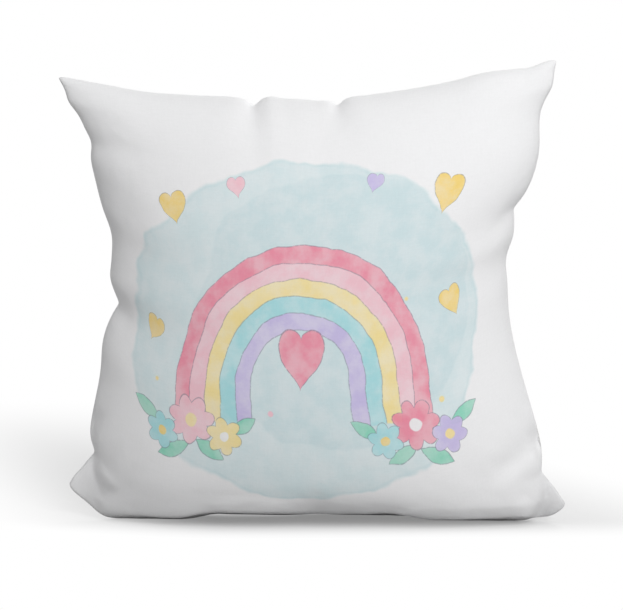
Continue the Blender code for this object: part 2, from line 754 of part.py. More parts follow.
def make_stitch(name, sign, group, material):
    half = ZIP_LENGTH / 2.0 + BARTACK_END
    run = np.linspace(-half, half, 41)
    lift = THREAD_RADIUS + THREAD_GAP
    across = np.full_like(run, sign * (SLOT_HALF + STITCH_MARGIN))
    points = zip_points(run, across, np.full_like(run, lift))
    return make_thread(name, points, THREAD_RADIUS, False, group, material)


def make_bartack(name, run, group, material):
    size = (BARTACK_LENGTH, 2.0 * (SLOT_HALF - SLOT_GAP / 2.0), TAPE_THICKNESS)
    item = make_block(name, size, group, material)
    item.matrix_world = zip_matrix(run, CHAIN_LEVEL + TAPE_THICKNESS + RUN_GAP)
    return item


def build():
    clear_scene()
    group = make_collection("throw_cushion")
    cutters = make_collection("throw_cushion_helpers")

    print_cloth = make_material("printed_cloth", (0.88, 0.90, 0.91), 0.75)
    plain_cloth = make_material("plain_cloth", (0.87, 0.87, 0.86), 0.78)
    thread = make_material("sewing_thread", (0.84, 0.84, 0.82), 0.70)
    tape = make_material("zip_tape", (0.82, 0.82, 0.80), 0.80)
    nylon = make_material("zip_nylon", (0.80, 0.80, 0.78), 0.45)
    metal = make_material("zip_metal", (0.62, 0.62, 0.61), 0.32, 1.0)
    lining = make_material("insert_lining", (0.90, 0.90, 0.88), 0.85)
    fibre = make_material("fibre_filling", (0.93, 0.93, 0.91), 0.95)

    panel_rows = LOWER_ROWS + UPPER_ROWS
    make_panel("front_panel", PANEL_COLUMNS, panel_rows, front_place, -1, group, print_cloth)
    above = back_place(1.0, UPPER_ROWS)
    below = back_place(-1.0, LOWER_ROWS)
    make_panel("back_panel_upper", PANEL_COLUMNS, UPPER_ROWS, above, 1, group, plain_cloth.copy())
    make_panel("back_panel_lower", PANEL_COLUMNS, LOWER_ROWS, below, 1, group, plain_cloth)

    u, v = front_place(*grid_loop(PANEL_COLUMNS, panel_rows))
    standoff = THREAD_RADIUS + THREAD_GAP
    edge = seam_loop(u, v, standoff, THREAD_RADIUS + FLOOR_CLEAR)
    make_thread("seam_thread", edge, THREAD_RADIUS, True, group, thread)

    make_case("insert_case_front", -1, group, lining)
    make_case("insert_case_back", 1, group, lining.copy())
    make_filling("insert_filling", group, fibre)
    a, b = grid_loop(INSERT_GRID, INSERT_GRID)
    u, v = insert_place(spaced(a), spaced(b), CASE_REACH)
    edge = seam_loop(u, v, standoff, CASE_FLOOR + THREAD_RADIUS + FLOOR_CLEAR)
    make_thread("insert_seam_thread", edge, THREAD_RADIUS, True, group, thread.copy())

    make_tape("zip_tape_upper", 1.0, group, tape)
    make_tape("zip_tape_lower", -1.0, group, tape.copy())
    make_teeth("zip_teeth_upper", 1.0, group, nylon)
    make_teeth("zip_teeth_lower", -1.0, group, nylon.copy())
    make_stitch("zip_stitch_upper", 1.0, group, thread.copy())
    make_stitch("zip_stitch_lower", -1.0, group, thread.copy())

    stop_inner = POST_WIDTH / 2.0 + RUN_GAP
    stop_width = TEETH_HALF_WIDTH - stop_inner
    stop_across = (TEETH_HALF_WIDTH + stop_inner) / 2.0
    stop_run = -ZIP_LENGTH / 2.0 - STOP_LENGTH / 2.0
    make_stop("zip_top_stop_upper", stop_run, stop_across, stop_width, group, metal.copy())
    make_stop("zip_top_stop_lower", stop_run, -stop_across, stop_width, group, metal.copy())
    stop_run = ZIP_LENGTH / 2.0 + RUN_GAP + STOP_LENGTH / 2.0
    make_stop("zip_bottom_stop", stop_run, 0.0, 2.0 * TEETH_HALF_WIDTH, group, metal.copy())
    bartack_run = ZIP_LENGTH / 2.0 + BARTACK_END
    make_bartack("zip_bartack_right", -bartack_run, group, thread.copy())
    make_bartack("zip_bartack_left", bartack_run, group, thread.copy())

    axis = bpy.data.objects.new("zip_arc_axis", None)
    axis.hide_render = True
    group.objects.link(axis)
    axis.location = Vector(standing(np.array([0.0, ZIP_CENTRE, ZIP_HEIGHT]), 0.0))
    axis.rotation_euler = (-LEAN_ANGLE, 0.0, 0.0)
    bpy.context.view_layer.update()
    slider = make_slider("zip_slider", axis, group, cutters, metal)
    bpy.context.view_layer.update()
    make_pull("zip_pull", slider, group, metal.copy())
    bpy.context.view_layer.update()


build()
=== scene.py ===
import math

import bpy
import numpy as np
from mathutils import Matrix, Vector
from mathutils.kdtree import KDTree


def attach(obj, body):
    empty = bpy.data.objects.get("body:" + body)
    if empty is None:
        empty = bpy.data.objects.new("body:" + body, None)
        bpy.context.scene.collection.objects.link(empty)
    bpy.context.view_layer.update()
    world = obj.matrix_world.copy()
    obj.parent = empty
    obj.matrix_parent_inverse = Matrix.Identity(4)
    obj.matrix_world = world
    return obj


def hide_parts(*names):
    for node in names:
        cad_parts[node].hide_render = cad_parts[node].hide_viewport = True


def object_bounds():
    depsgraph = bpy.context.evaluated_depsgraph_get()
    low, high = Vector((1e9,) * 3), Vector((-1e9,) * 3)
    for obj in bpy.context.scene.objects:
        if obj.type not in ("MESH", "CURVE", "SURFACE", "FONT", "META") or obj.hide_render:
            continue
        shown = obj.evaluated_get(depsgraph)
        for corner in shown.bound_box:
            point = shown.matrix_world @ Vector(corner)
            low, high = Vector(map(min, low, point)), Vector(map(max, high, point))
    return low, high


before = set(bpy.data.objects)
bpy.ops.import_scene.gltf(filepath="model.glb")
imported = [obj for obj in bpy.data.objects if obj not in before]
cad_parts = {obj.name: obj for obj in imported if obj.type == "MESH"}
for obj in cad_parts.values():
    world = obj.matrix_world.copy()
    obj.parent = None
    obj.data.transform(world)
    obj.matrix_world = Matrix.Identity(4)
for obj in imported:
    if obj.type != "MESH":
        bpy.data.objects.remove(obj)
cadLow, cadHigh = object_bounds()
print("frame loaded:", len(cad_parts), "nodes")


# shader sockets: sums on a wire grow Math nodes, everything else comes from node()
class Wire:
    def __init__(self, tree, socket=None):
        self.tree = tree
        self.socket = socket

    def node(self, kind, settings=None, inputs=None, out=0):
        made = self.tree.nodes.new("ShaderNode" + kind)
        for name, value in (settings or {}).items():
            if name == "stops":
                ramp = made.color_ramp
                while len(ramp.elements) < len(value):
                    ramp.elements.new(1.0)
                for element, (place, colour) in zip(ramp.elements, value):
                    element.position = place
                    element.color = colour
            else:
                setattr(made, name, value)
        for name, value in (inputs or {}).items():
            if isinstance(value, Wire):
                self.tree.links.new(value.socket, made.inputs[name])
            else:
                made.inputs[name].default_value = value
        return Wire(self.tree, made.outputs[out])

    def math(self, operation, *values):
        return self.node("Math", {"operation": operation}, dict(enumerate(values)))

    def __add__(self, other):
        return self.math("ADD", self, other)

    def __radd__(self, other):
        return self.math("ADD", other, self)

    def __sub__(self, other):
        return self.math("SUBTRACT", self, other)

    def __rsub__(self, other):
        return self.math("SUBTRACT", other, self)

    def __mul__(self, other):
        return self.math("MULTIPLY", self, other)

    def __rmul__(self, other):
        return self.math("MULTIPLY", other, self)

    def __truediv__(self, other):
        return self.math("DIVIDE", self, other)

    def __rtruediv__(self, other):
        return self.math("DIVIDE", other, self)

    def __abs__(self):
        return self.math("ABSOLUTE", self)

    def sin(self):
        return self.math("SINE", self)

    def root(self):
        return self.math("SQRT", self)

    def most(self, other):
        return self.math("MAXIMUM", self, other)

    # one below edge - blur, none above edge + blur
    def below(self, edge, blur):
        return self.node(
            "MapRange",
            {"interpolation_type": "SMOOTHSTEP"},
            {0: self, 1: edge - blur, 2: edge + blur, 3: 1.0, 4: 0.0},
        )

    def mixed(self, first, second):
        return self.node("Mix", {"data_type": "RGBA"}, {0: self, 6: first, 7: second}, out=2)

    def axes(self):
        return [self.node("SeparateXYZ", None, {0: self}, out=axis) for axis in range(2)]


def paint(red, green, blue):
    # screen values 0 to 255 as a linear colour
    levels = [value / 255.0 for value in (red, green, blue)]
    return (*[v / 12.92 if v < 0.04045 else ((v + 0.055) / 1.055) ** 2.4 for v in levels], 1.0)


def newFinish(name, roughness, **fixed):
    material = bpy.data.materials.new(name)
    material.use_nodes = True
    shader = material.node_tree.nodes["Principled BSDF"]
    shader.inputs["Roughness"].default_value = roughness
    for socket, value in fixed.items():
        shader.inputs[socket.replace("_", " ")].default_value = value
    return material, shader, Wire(material.node_tree)


def join(start, shader, name):
    start.tree.links.new(start.socket, shader.inputs[name])


def dress(start, shader, tone, value, roughness, strength, distance, height):
    # lightness and roughness that vary, over a fine relief
    base = start.node("HueSaturation", None, {"Value": value, "Color": tone})
    bump = start.node("Bump", None, {"Strength": strength, "Distance": distance, "Height": height})
    join(base, shader, "Base Color")
    join(roughness, shader, "Roughness")
    join(bump, shader, "Normal")


def noise(start, place, scale, detail, **more):
    return start.node("TexNoise", None, {"Vector": place, "Scale": scale, "Detail": detail, **more})


# camera, floor and studio light
view = dict(target=(0.0, 0.0, 0.1935), turn=4.0, rise=4.0, away=1.5, lens=97.2)
studio = dict(
    lamps=dict(
        key=dict(place=(1.05, -1.80, 1.15), size=0.9, power=27.0),
        top=dict(place=(0.45, -0.35, 1.90), size=1.2, power=3.5),
        fill=dict(place=(-1.70, -1.10, 0.80), size=1.4, power=4.0),
        rear=dict(place=(0.70, 1.90, 1.30), size=1.2, power=22.0),
    ),
    aim=(0.0, 0.0, 0.2),
    surround=0.34,
    white=(1.0, 1.0, 1.0, 1.0),
    floorHalf=6,
    floorTone=(0.80, 0.80, 0.80, 1.0),
    floorBounce=(0.36, 0.36, 0.36, 1.0),
    # the floor's least glow, and the place, size and slant of the painted shade zone round the cushion's
    # foot
    floorGlow=0.24,
    footMiddle=0.058,
    footHalf=0.138,
    shadeReach=0.085,
    shadeSide=0.35,
    shadeBehind=0.10,
    shadeSlant=0.5,
    shadeTilt=0.10,
    shadeForward=0.008,
)


def aimed(name, data, place, aim):
    item = bpy.data.objects.new(name, data)
    bpy.context.scene.collection.objects.link(item)
    item.location = place
    item.rotation_euler = (Vector(aim) - Vector(place)).to_track_quat("-Z", "Y").to_euler()
    return item


def setStudio():
    scene = bpy.context.scene
    scene.view_settings.view_transform = "Standard"
    turn, rise = math.radians(view["turn"]), math.radians(view["rise"])
    back = Vector((math.sin(turn) * math.cos(rise), -math.cos(turn) * math.cos(rise), math.sin(rise)))
    lens = bpy.data.cameras.new("camera")
    lens.lens = view["lens"]
    place = Vector(view["target"]) + back * view["away"]
    scene.camera = aimed("camera", lens, place, view["target"])
    for name, facts in studio["lamps"].items():
        lamp = bpy.data.lights.new(name, "AREA")
        lamp.size = facts["size"]
        lamp.energy = facts["power"]
        aimed(name, lamp, facts["place"], studio["aim"])
    world = bpy.data.worlds.new("studio")
    scene.world = world
    world.use_nodes = True
    start = Wire(world.node_tree)
    seen = seenRay(start)
    tone = start.node("Mix", None, {0: seen, 2: studio["surround"], 3: 1.0})
    backdrop = world.node_tree.nodes["Background"]
    join(tone, backdrop, "Strength")
    backdrop.inputs["Color"].default_value = studio["white"]
    mesh = bpy.data.meshes.new("floor")
    far = studio["floorHalf"]
    mesh.from_pydata([(-far, -far, 0), (far, -far, 0), (far, far, 0), (-far, far, 0)], [], [(0, 1, 2, 3)])
    floor = bpy.data.objects.new("floor", mesh)
    scene.collection.objects.link(floor)
    floor.data.materials.append(floorFinish())


def seenRay(start):
    kinds = ("Is Camera Ray", "Is Glossy Ray", "Is Transmission Ray")
    direct, mirrored, through = [start.node("LightPath", None, None, out=kind) for kind in kinds]
    return direct.most(mirrored).most(through)


def floorFinish():
    material = bpy.data.materials.new("paleFloor")
    material.use_nodes = True
    tree = material.node_tree
    start = Wire(tree)
    tree.nodes.remove(tree.nodes["Principled BSDF"])
    seen = seenRay(start)
    tone = seen.mixed(studio["floorBounce"], studio["floorTone"])
    dull = start.node("BsdfDiffuse", None, {"Color": tone})
    glow = start.node("Emission", None, {"Color": studio["white"], "Strength": 1.0})
    # plain white away from the cushion; round its foot the white glow gives way over a zone shaped like
    # the cushion's shadow, so there the floor is darker by painted shade as well as by its real shadow
    x, y = start.node("TexCoord", None, None, out="Object").axes()
    aside = abs(x + y * studio["shadeSlant"] - studio["footMiddle"])
    beside = (aside - studio["footHalf"]).most(0.0) * studio["shadeSide"]
    edge = (x * studio["shadeTilt"]).most(-studio["shadeForward"]) - studio["shadeForward"] / 2
    before = (edge - y).most(0.0)
    behind = y.most(0.0) * studio["shadeBehind"]
    away = (beside * beside + before * before + behind * behind).root()
    # painted shade zone round the foot, reaching further back and to the left
    near = away.below(studio["shadeReach"] / 2, studio["shadeReach"] / 2)
    lit = seen * (1.0 - near * (1.0 - studio["floorGlow"]))
    both = start.node("MixShader", None, {0: lit, 1: dull, 2: glow})
    join(both, tree.nodes["Material Output"], "Surface")
    return material


setStudio()
print("camera and studio set")


# outline and crown of the cover, in its own upright seam plane
cover = dict(
    bottomWidth=0.446,
    bottomShift=0.0030,
    topWidth=0.443,
    topShift=-0.0065,
    topHeight=0.404,
    topSkew=0.0070,
    earLift=0.0245,
    earSkew=0.0045,
    leftWaist=0.043,
    rightWaist=0.048,
    waistRun=0.185,
    topWaist=0.025,
    topRun=0.200,
    bottomSag=0.050,
    sagRun=0.095,
    earDepth=0.015,
    earRun=0.050,
    frontCrown=0.072,
    backCrown=0.075,
    sidePower=2.3,
    topPower=2.2,
    slumpPower=3.4,
    edgePower=0.60,
    lean=5.0,
    floorRound=0.006,
    cloth=0.0008,
    edgeGap=0.00015,
    seamLip=0.0006,
    allowance=0.005,
    allowanceShare=0.3,
    allowanceLeast=0.0002,
    seamTaken=0.01,
    crowding=0.4,
    flatSide=0.45,
    columns=181,
    rows=181,
    samples=49,
)
# outward swells of each side: place along it, size and spread
swells = dict(
    top=(
        (0.170, -0.0022, 0.070),
        (0.340, 0.0015, 0.050),
        (0.425, 0.0028, 0.025),
        (0.525, -0.0024, 0.030),
        (0.855, 0.0020, 0.045),
        (0.950, -0.0016, 0.028),
    ),
    left=(
        (0.945, 0.0042, 0.030),
        (0.845, -0.0040, 0.030),
        (0.620, -0.0040, 0.050),
        (0.515, 0.0022, 0.030),
        (0.360, 0.0038, 0.060),
        (0.087, -0.0025, 0.030),
        (0.045, -0.0022, 0.020),
    ),
    right=(
        (0.950, 0.0045, 0.040),
        (0.770, 0.0115, 0.150),
        (0.862, -0.0024, 0.050),
        (0.602, 0.0012, 0.025),
        (0.551, -0.0022, 0.040),
    ),
)
pucker = dict(
    depth=0.007,
    width=0.012,
    topWidth=0.0057,
    reach=0.030,
    soften=0.020,
    sharp=1.3,
    rounder=0.7,
    top=(0.393, 0.563),
    left=(0.087, 0.452),
    right=(0.080, 0.667),
    foldDepth=0.0046,
    foldWidth=0.010,
    foldReach=0.020,
    foldDrift=0.11,
    foldWiden=0.16,
    shoulder=0.9,
    shoulderFade=1.6,
    rimPower=0.25,
    rimRise=1.6,
    bottom=(0.28, 0.50),
)
# sewn corners: how far each stands out, and how far it is rounded back
sewnTips = dict(
    bottomLeft=dict(out=(-0.0017, 0.0000), spread=0.022, blunt=0.0026, reach=0.0035),
    bottomRight=dict(out=(0.0010, -0.0052), spread=0.057, blunt=0.0026, reach=0.0032),
    topLeft=dict(out=(-0.0050, 0.0028), spread=0.022, blunt=0.0024, reach=0.0028),
    topRight=dict(out=(0.0067, 0.0067), spread=0.0184, blunt=0.0099, reach=0.0116),
)
# the stuffing stops short of the lower ears, which stay flat flaps behind it
flaps = (
    dict(
        toward=(-0.97, -0.22),
        middle=(-0.146, 0.066),
        radius=0.054,
        rise=0.023,
        depth=0.0135,
        reach=0.022,
        swell=0.0008,
    ),
    dict(
        toward=(0.99, -0.10),
        middle=(0.138, 0.034),
        radius=0.069,
        rise=0.010,
        depth=0.0095,
        reach=0.024,
        swell=0.0020,
    ),
)
flapTurn = dict(full=0.06, gone=0.42, share=0.7, swellReach=0.014)
# the lower ears and the right of the belly turn a little to the floor, its left turns up
turns = (
    dict(middle=0.232, full=0.023, gone=0.046, height=0.054, share=0.45, soften=0.008),
    dict(middle=-0.232, full=0.022, gone=0.050, height=0.062, share=0.25, soften=0.008),
    dict(middle=0.150, full=0.045, gone=0.075, height=0.022, share=0.50, soften=0.006),
    dict(middle=-0.053, full=0.016, gone=0.068, height=0.034, share=-0.50, soften=0.006),
)
# soft slanting folds in the stuffed cloth, from start to end in the seam plane
slants = (
    dict(start=(0.204, 0.082), end=(0.158, 0.044), depth=0.0030, width=0.012),
    dict(start=(-0.190, 0.300), end=(-0.150, 0.262), depth=0.0012, width=0.014),
)
slantForm = dict(shoulder=0.8, shoulderFade=1.6, middle=0.4, full=0.3, gone=0.9)
# the lower edge is drawn up off the floor in the middle, and the belly overhangs its own foot
arch = dict(lift=0.0092, middle=-0.004, full=0.070, gone=0.115, front=-0.015, back=0.038, height=0.020)
overhang = dict(lift=0.0081, middle=0.0, full=0.185, gone=0.230, front=-0.036, back=-0.004, height=0.030)
heel = dict(lift=0.0022, middle=0.165, full=0.050, gone=0.120, front=-0.015, back=0.004, height=0.020)
halfBottom, halfTop = cover["bottomWidth"] / 2, cover["topWidth"] / 2
tips = dict(
    bottomLeft=np.array([cover["bottomShift"] - halfBottom, cover["earLift"] + cover["earSkew"]]),
    bottomRight=np.array([cover["bottomShift"] + halfBottom, cover["earLift"] - cover["earSkew"]]),
    topLeft=np.array([cover["topShift"] - halfTop, cover["topHeight"] - cover["topSkew"]]),
    topRight=np.array([cover["topShift"] + halfTop, cover["topHeight"] + cover["topSkew"]]),
)


def unit(vectors):
    return vectors / np.maximum(np.linalg.norm(vectors, axis=-1, keepdims=True), 1e-12)


def eased(share):
    return share * share * (3 - 2 * share)


def fromTips(share, run):
    return np.clip(np.minimum(share, 1 - share) / run, 0, 1)


def edgeLine(start, end, share, pull, waist, run, ear, earRun, bumps=()):
    # quick rise at the ears, a slow waist, then the swells
    length = float(np.linalg.norm(tips[end] - tips[start]))
    line = tips[start] + share[..., None] * (tips[end] - tips[start])
    quick = fromTips(share, min(earRun / length, 0.5))
    slow = fromTips(share, min(run / length, 0.5))
    move = ear * (1 - (1 - quick) ** 2) + (waist - ear) * slow * slow * (3 - 2 * slow)
    clear = fromTips(share, cover["earRun"] / length / 2)
    for place, size, spread in bumps:
        move = move - size * np.exp(-(((share - place) / spread) ** 2)) * clear * clear * (3 - 2 * clear)
    return line + move[..., None] * np.array(pull)


def puckerDents(along, away, places, length, width):
    total = np.zeros_like(along)
    for place in places:
        # sharp at the stitches, softer further in
        far = away * length / pucker["soften"]
        across = np.abs(along - place) * length / (width * (1 + far))
        dent = np.exp(-(across ** (pucker["sharp"] + pucker["rounder"] * np.minimum(far, 1))))
        total = total + pucker["depth"] * dent * np.exp(-away * length / pucker["reach"])
    return total


def seamPlane(u, v, gather=1.0, sewn=1.0):
    s = (np.asarray(u, float) + 1) / 2
    t = (np.asarray(v, float) + 1) / 2
    s, t = np.broadcast_arrays(s, t)
    c = cover
    down = (0, -1)
    sag = (c["bottomSag"], c["sagRun"])
    bottom = edgeLine("bottomLeft", "bottomRight", s, down, *sag, *sag)
    ear = (c["topRun"], c["topWaist"] / 2, c["topRun"])
    top = edgeLine("topLeft", "topRight", s, down, c["topWaist"], *ear, swells["top"])
    ear = (c["waistRun"], c["earDepth"], c["earRun"])
    left = edgeLine("bottomLeft", "topLeft", t, (1, 0), c["leftWaist"], *ear, swells["left"])
    right = edgeLine("bottomRight", "topRight", t, (-1, 0), c["rightWaist"], *ear, swells["right"])
    s1, t1 = s[..., None], t[..., None]
    corners = (1 - s1) * (1 - t1) * tips["bottomLeft"] + s1 * (1 - t1) * tips["bottomRight"]
    corners = corners + (1 - s1) * t1 * tips["topLeft"] + s1 * t1 * tips["topRight"]
    place = (1 - t1) * bottom + t1 * top + (1 - s1) * left + s1 * right - corners
    x = place[..., 0] + gather * puckerDents(t, s, pucker["left"], c["topHeight"], pucker["width"])
    x = x - gather * puckerDents(t, 1 - s, pucker["right"], c["topHeight"], pucker["width"])
    z = place[..., 1] - gather * puckerDents(s, 1 - t, pucker["top"], c["topWidth"], pucker["topWidth"])
    for name, tip in tips.items():
        corner = sewnTips[name]
        away = np.hypot(x - tip[0], z - tip[1])
        proud = sewn * np.exp(-((away / corner["spread"]) ** 2))
        blunt = sewn * corner["blunt"] * np.exp(-away / corner["reach"])
        home = unit(np.array([0.0, c["topHeight"] / 2]) - tip)
        x = x + corner["out"][0] * proud + blunt * home[0]
        z = z + corner["out"][1] * proud + blunt * home[1]
    return x, z


def crown(u, v):
    # round above, slumped and fuller below, from nought at the seam to one
    u, v = np.broadcast_arrays(np.asarray(u, float), np.asarray(v, float))
    power = np.where(v < 0, cover["slumpPower"], cover["topPower"])
    across = np.clip(1 - np.abs(u) ** cover["sidePower"], 0, 1) ** cover["edgePower"]
    upward = np.clip(1 - np.abs(v) ** power, 0, 1) ** cover["edgePower"]
    return across * upward


def heightToV(u, height):
    # halving finds the place where the cover has this height
    low, high = np.full_like(u, -1.0), np.full_like(u, 1.0)
    for _ in range(40):
        middle = (low + high) / 2
        under = seamPlane(u, middle)[1] < height
        low, high = np.where(under, middle, low), np.where(under, high, middle)
    return (low + high) / 2


def fade(distance, full, gone):
    # one up to full, nought from gone on
    return eased(np.clip((gone - np.abs(distance)) / (gone - full), 0, 1))


# zip across the lower back
zipper = dict(
    height=0.072,
    length=0.250,
    sliderLength=0.010,
    sliderWidth=0.008,
    postLength=0.0036,
    postHalf=0.0008,
    tape=0.0005,
    tapeWidth=0.012,
    tapeEnd=0.018,
    tapeGap=0.0005,
    slotGap=0.0007,
    slotEnd=0.0105,
    slotTaper=0.0045,
    closedSlot=0.0004,
    tapeMeets=(0.0042, 0.0068),
    tapeColumns=240,
    tapeRows=12,
    tapeRipple=0.00012,
    tapeSink=0.0001,
    hemPast=0.0015,
    stitchMargin=0.003,
    bartackEnd=0.009,
    bartackLength=0.0024,
    runGap=0.0003,
    plate=0.0010,
    plateClear=0.0010,
    coilHalf=0.0024,
    coilOverlap=0.0009,
    coilHeight=0.00062,
    coilWire=0.00033,
    coilPitch=0.0020,
    coilEnd=0.0052,
    coilPoints=14,
    coilSquare=0.7,
    coilParts=(0.0030, 0.0008),
    thread=0.00035,
    stitch=0.0030,
)
# where the back follows the arc of the zip, and where it has left it
zipBand = dict(
    past=0.001,
    gone=0.045,
    endFull=0.012,
    endGone=0.034,
    sideFull=0.88,
    sideGone=0.97,
    slopeStep=0.012,
)
zipHalf = zipper["length"] / 2
tapeHalf = zipHalf + zipper["tapeEnd"]
barHalf = zipHalf + zipper["bartackEnd"]
slotHalf = zipper["sliderWidth"] / 2 + zipper["slotGap"]
hemHeight = zipper["tapeWidth"] + zipper["hemPast"]
chainLevel = -(cover["cloth"] + zipper["tapeGap"] + zipper["tape"] / 2)
edgeStandoff = cover["cloth"] + cover["edgeGap"]


def fitZipArc():
    # the arc that the back makes at the height of the zip
    def profile(height):
        u = np.linspace(-0.995, 0.995, 201)
        v = heightToV(u, np.full_like(u, height))
        return seamPlane(u, v)[0], edgeStandoff + cover["backCrown"] * crown(u, v)

    height, step = zipper["height"], zipBand["slopeStep"]
    x, y = profile(height)
    middle = float(np.interp(0, x, y))
    drop = middle - (float(np.interp(-zipHalf, x, y)) + float(np.interp(zipHalf, x, y))) / 2
    radius = (zipHalf**2 + drop**2) / (2 * drop)
    above = float(np.interp(0, *profile(height + step)))
    below = float(np.interp(0, *profile(height - step)))
    return radius, middle - radius, math.atan2(above - below, 2 * step)


zipRadius, zipCentre, zipSlope = fitZipArc()


def halfSurface(u, v, side, gather=1.0, sewn=1.0):
    # front for side -1, back for side 1, upright in the seam plane's own frame
    x, z = seamPlane(u, v, gather, sewn)
    if side < 0:
        return np.stack([x, -edgeStandoff - cover["frontCrown"] * crown(u, v), z], axis=-1)
    y = edgeStandoff + cover["backCrown"] * crown(u, v)
    reach = zipRadius + (z - zipper["height"]) * math.tan(zipSlope)
    band = zipCentre + np.sqrt(np.maximum(reach**2 - x**2, 0))
    weight = fade(z - zipper["height"], hemHeight + zipBand["past"], zipBand["gone"])
    weight = weight * fade(x, tapeHalf + zipBand["endFull"], tapeHalf + zipBand["endGone"])
    weight = weight * fade(u, zipBand["sideFull"], zipBand["sideGone"])
    return np.stack([x, y + weight * (band - y), z], axis=-1)


def leaned(points):
    turn = math.radians(cover["lean"])
    points = np.asarray(points, float)
    y = points[..., 1] * math.cos(turn) + points[..., 2] * math.sin(turn)
    z = points[..., 2] * math.cos(turn) - points[..., 1] * math.sin(turn)
    return np.stack([points[..., 0], y, z], axis=-1)


def spaced(share):
    # closer together towards the ends
    return (1 - cover["crowding"]) * share + cover["crowding"] * np.sin(share * math.pi / 2)


def findMiddle():
    line = spaced(np.linspace(-1, 1, cover["samples"]))
    u, v = np.meshgrid(line, line)
    halves = [leaned(halfSurface(u, v, side, sewn=0.0)) for side in (-1, 1)]
    cloud = np.concatenate([half.reshape(-1, 3) for half in halves])
    middle = (cloud.min(axis=0) + cloud.max(axis=0)) / 2
    return np.array([middle[0], middle[1], 0.0])


boxMiddle = np.array([(cadLow[0] + cadHigh[0]) / 2, (cadLow[1] + cadHigh[1]) / 2, 0.0])
origin = findMiddle() - boxMiddle


def onFloor(points, floor=0.0):
    # what would lie under the floor is pressed flat, with a rounded turn
    above = points[..., 2] - floor
    bend = cover["floorRound"]
    soft = np.clip(above + bend, 0, 2 * bend) ** 2 / (4 * bend)
    placed = points.copy()
    placed[..., 2] = floor + np.where(above > bend, above, soft)
    return placed


def standing(points, floor=0.0):
    placed = onFloor(leaned(points) - origin, floor)
    for rise in (overhang, arch, heel):
        x, y, z = np.moveaxis(placed, -1, 0)
        share = fade(np.maximum(y - rise["front"], 0), 0.0, rise["back"] - rise["front"])
        share = share * fade(x - rise["middle"], rise["full"], rise["gone"])
        placed[..., 2] = z + rise["lift"] * share * np.exp(-((z / rise["height"]) ** 2))
    for turn in turns:
        under = np.maximum(turn["height"] - placed[..., 2], 0)
        under = under**2 / (under + turn["soften"])
        share = turn["share"] * fade(placed[..., 0] - turn["middle"], turn["full"], turn["gone"])
        placed[..., 1] = placed[..., 1] + share * under
    return placed


# cloth settling: the sewn edge is held, the slack by the seam gathers into small folds
settling = dict(
    slackReach=0.050,
    gatherReach=0.045,
    slackShare=0.35,
    gatherShare=0.65,
    jitter=0.00012,
    steps=20,
    most=0.009,
    seed=4,
    coarse=0.42,
    smoothing=2,
)
clothSettings = dict(
    quality=6,
    mass=0.1,
    tension_stiffness=20,
    compression_stiffness=20,
    shear_stiffness=8,
    bending_stiffness=1.2,
    vertex_group_mass="hold",
    vertex_group_shrink="loose",
    shrink_min=0.0,
    shrink_max=-0.045,
    use_pressure=True,
    uniform_pressure_force=2.5,
)


def coarseNet(places):
    # every second or third line of the fine net, with the weights that lead back to it
    last = int(round(places[-1]))
    wanted = np.round(np.linspace(0, last, int((last + 1) * settling["coarse"])))
    lines = np.unique(np.abs(places - wanted[:, None]).argmin(axis=1))
    weights = [np.interp(np.arange(last + 1), places[lines], row) for row in np.eye(len(lines))]
    return lines, np.array(weights).T


def slackOf(points, pinned, gathers):
    # slack cloth near the held edge, most of it at the gathers
    edge = points[pinned]
    flat = points.reshape(-1, 3)
    tree = KDTree(len(edge))
    for number, place in enumerate(edge):
        tree.insert(place, number)
    tree.balance()
    away = np.array([tree.find(place)[2] for place in flat])
    near = np.exp(-((away / settling["slackReach"]) ** 2))
    gather = np.zeros(len(flat))
    for place in gathers:
        gather = gather + np.exp(-((np.linalg.norm(flat - place, axis=1) / settling["gatherReach"]) ** 2))
    return np.clip(near * (settling["slackShare"] + settling["gatherShare"] * gather), 0, 1)


def gridFaces(rows, columns, flip):
    index = np.arange(rows * columns).reshape(rows, columns)
    corners = [index[:-1, :-1], index[:-1, 1:], index[1:, 1:], index[1:, :-1]]
    quads = np.stack(corners, axis=-1).reshape(-1, 4)
    return quads[:, ::-1] if flip else quads


def strips(first, second, flip):
    # one closed band of faces between two rings
    band = np.stack([np.roll(first, -1), first, second, np.roll(second, -1)], axis=-1)
    return band[:, ::-1] if flip else band


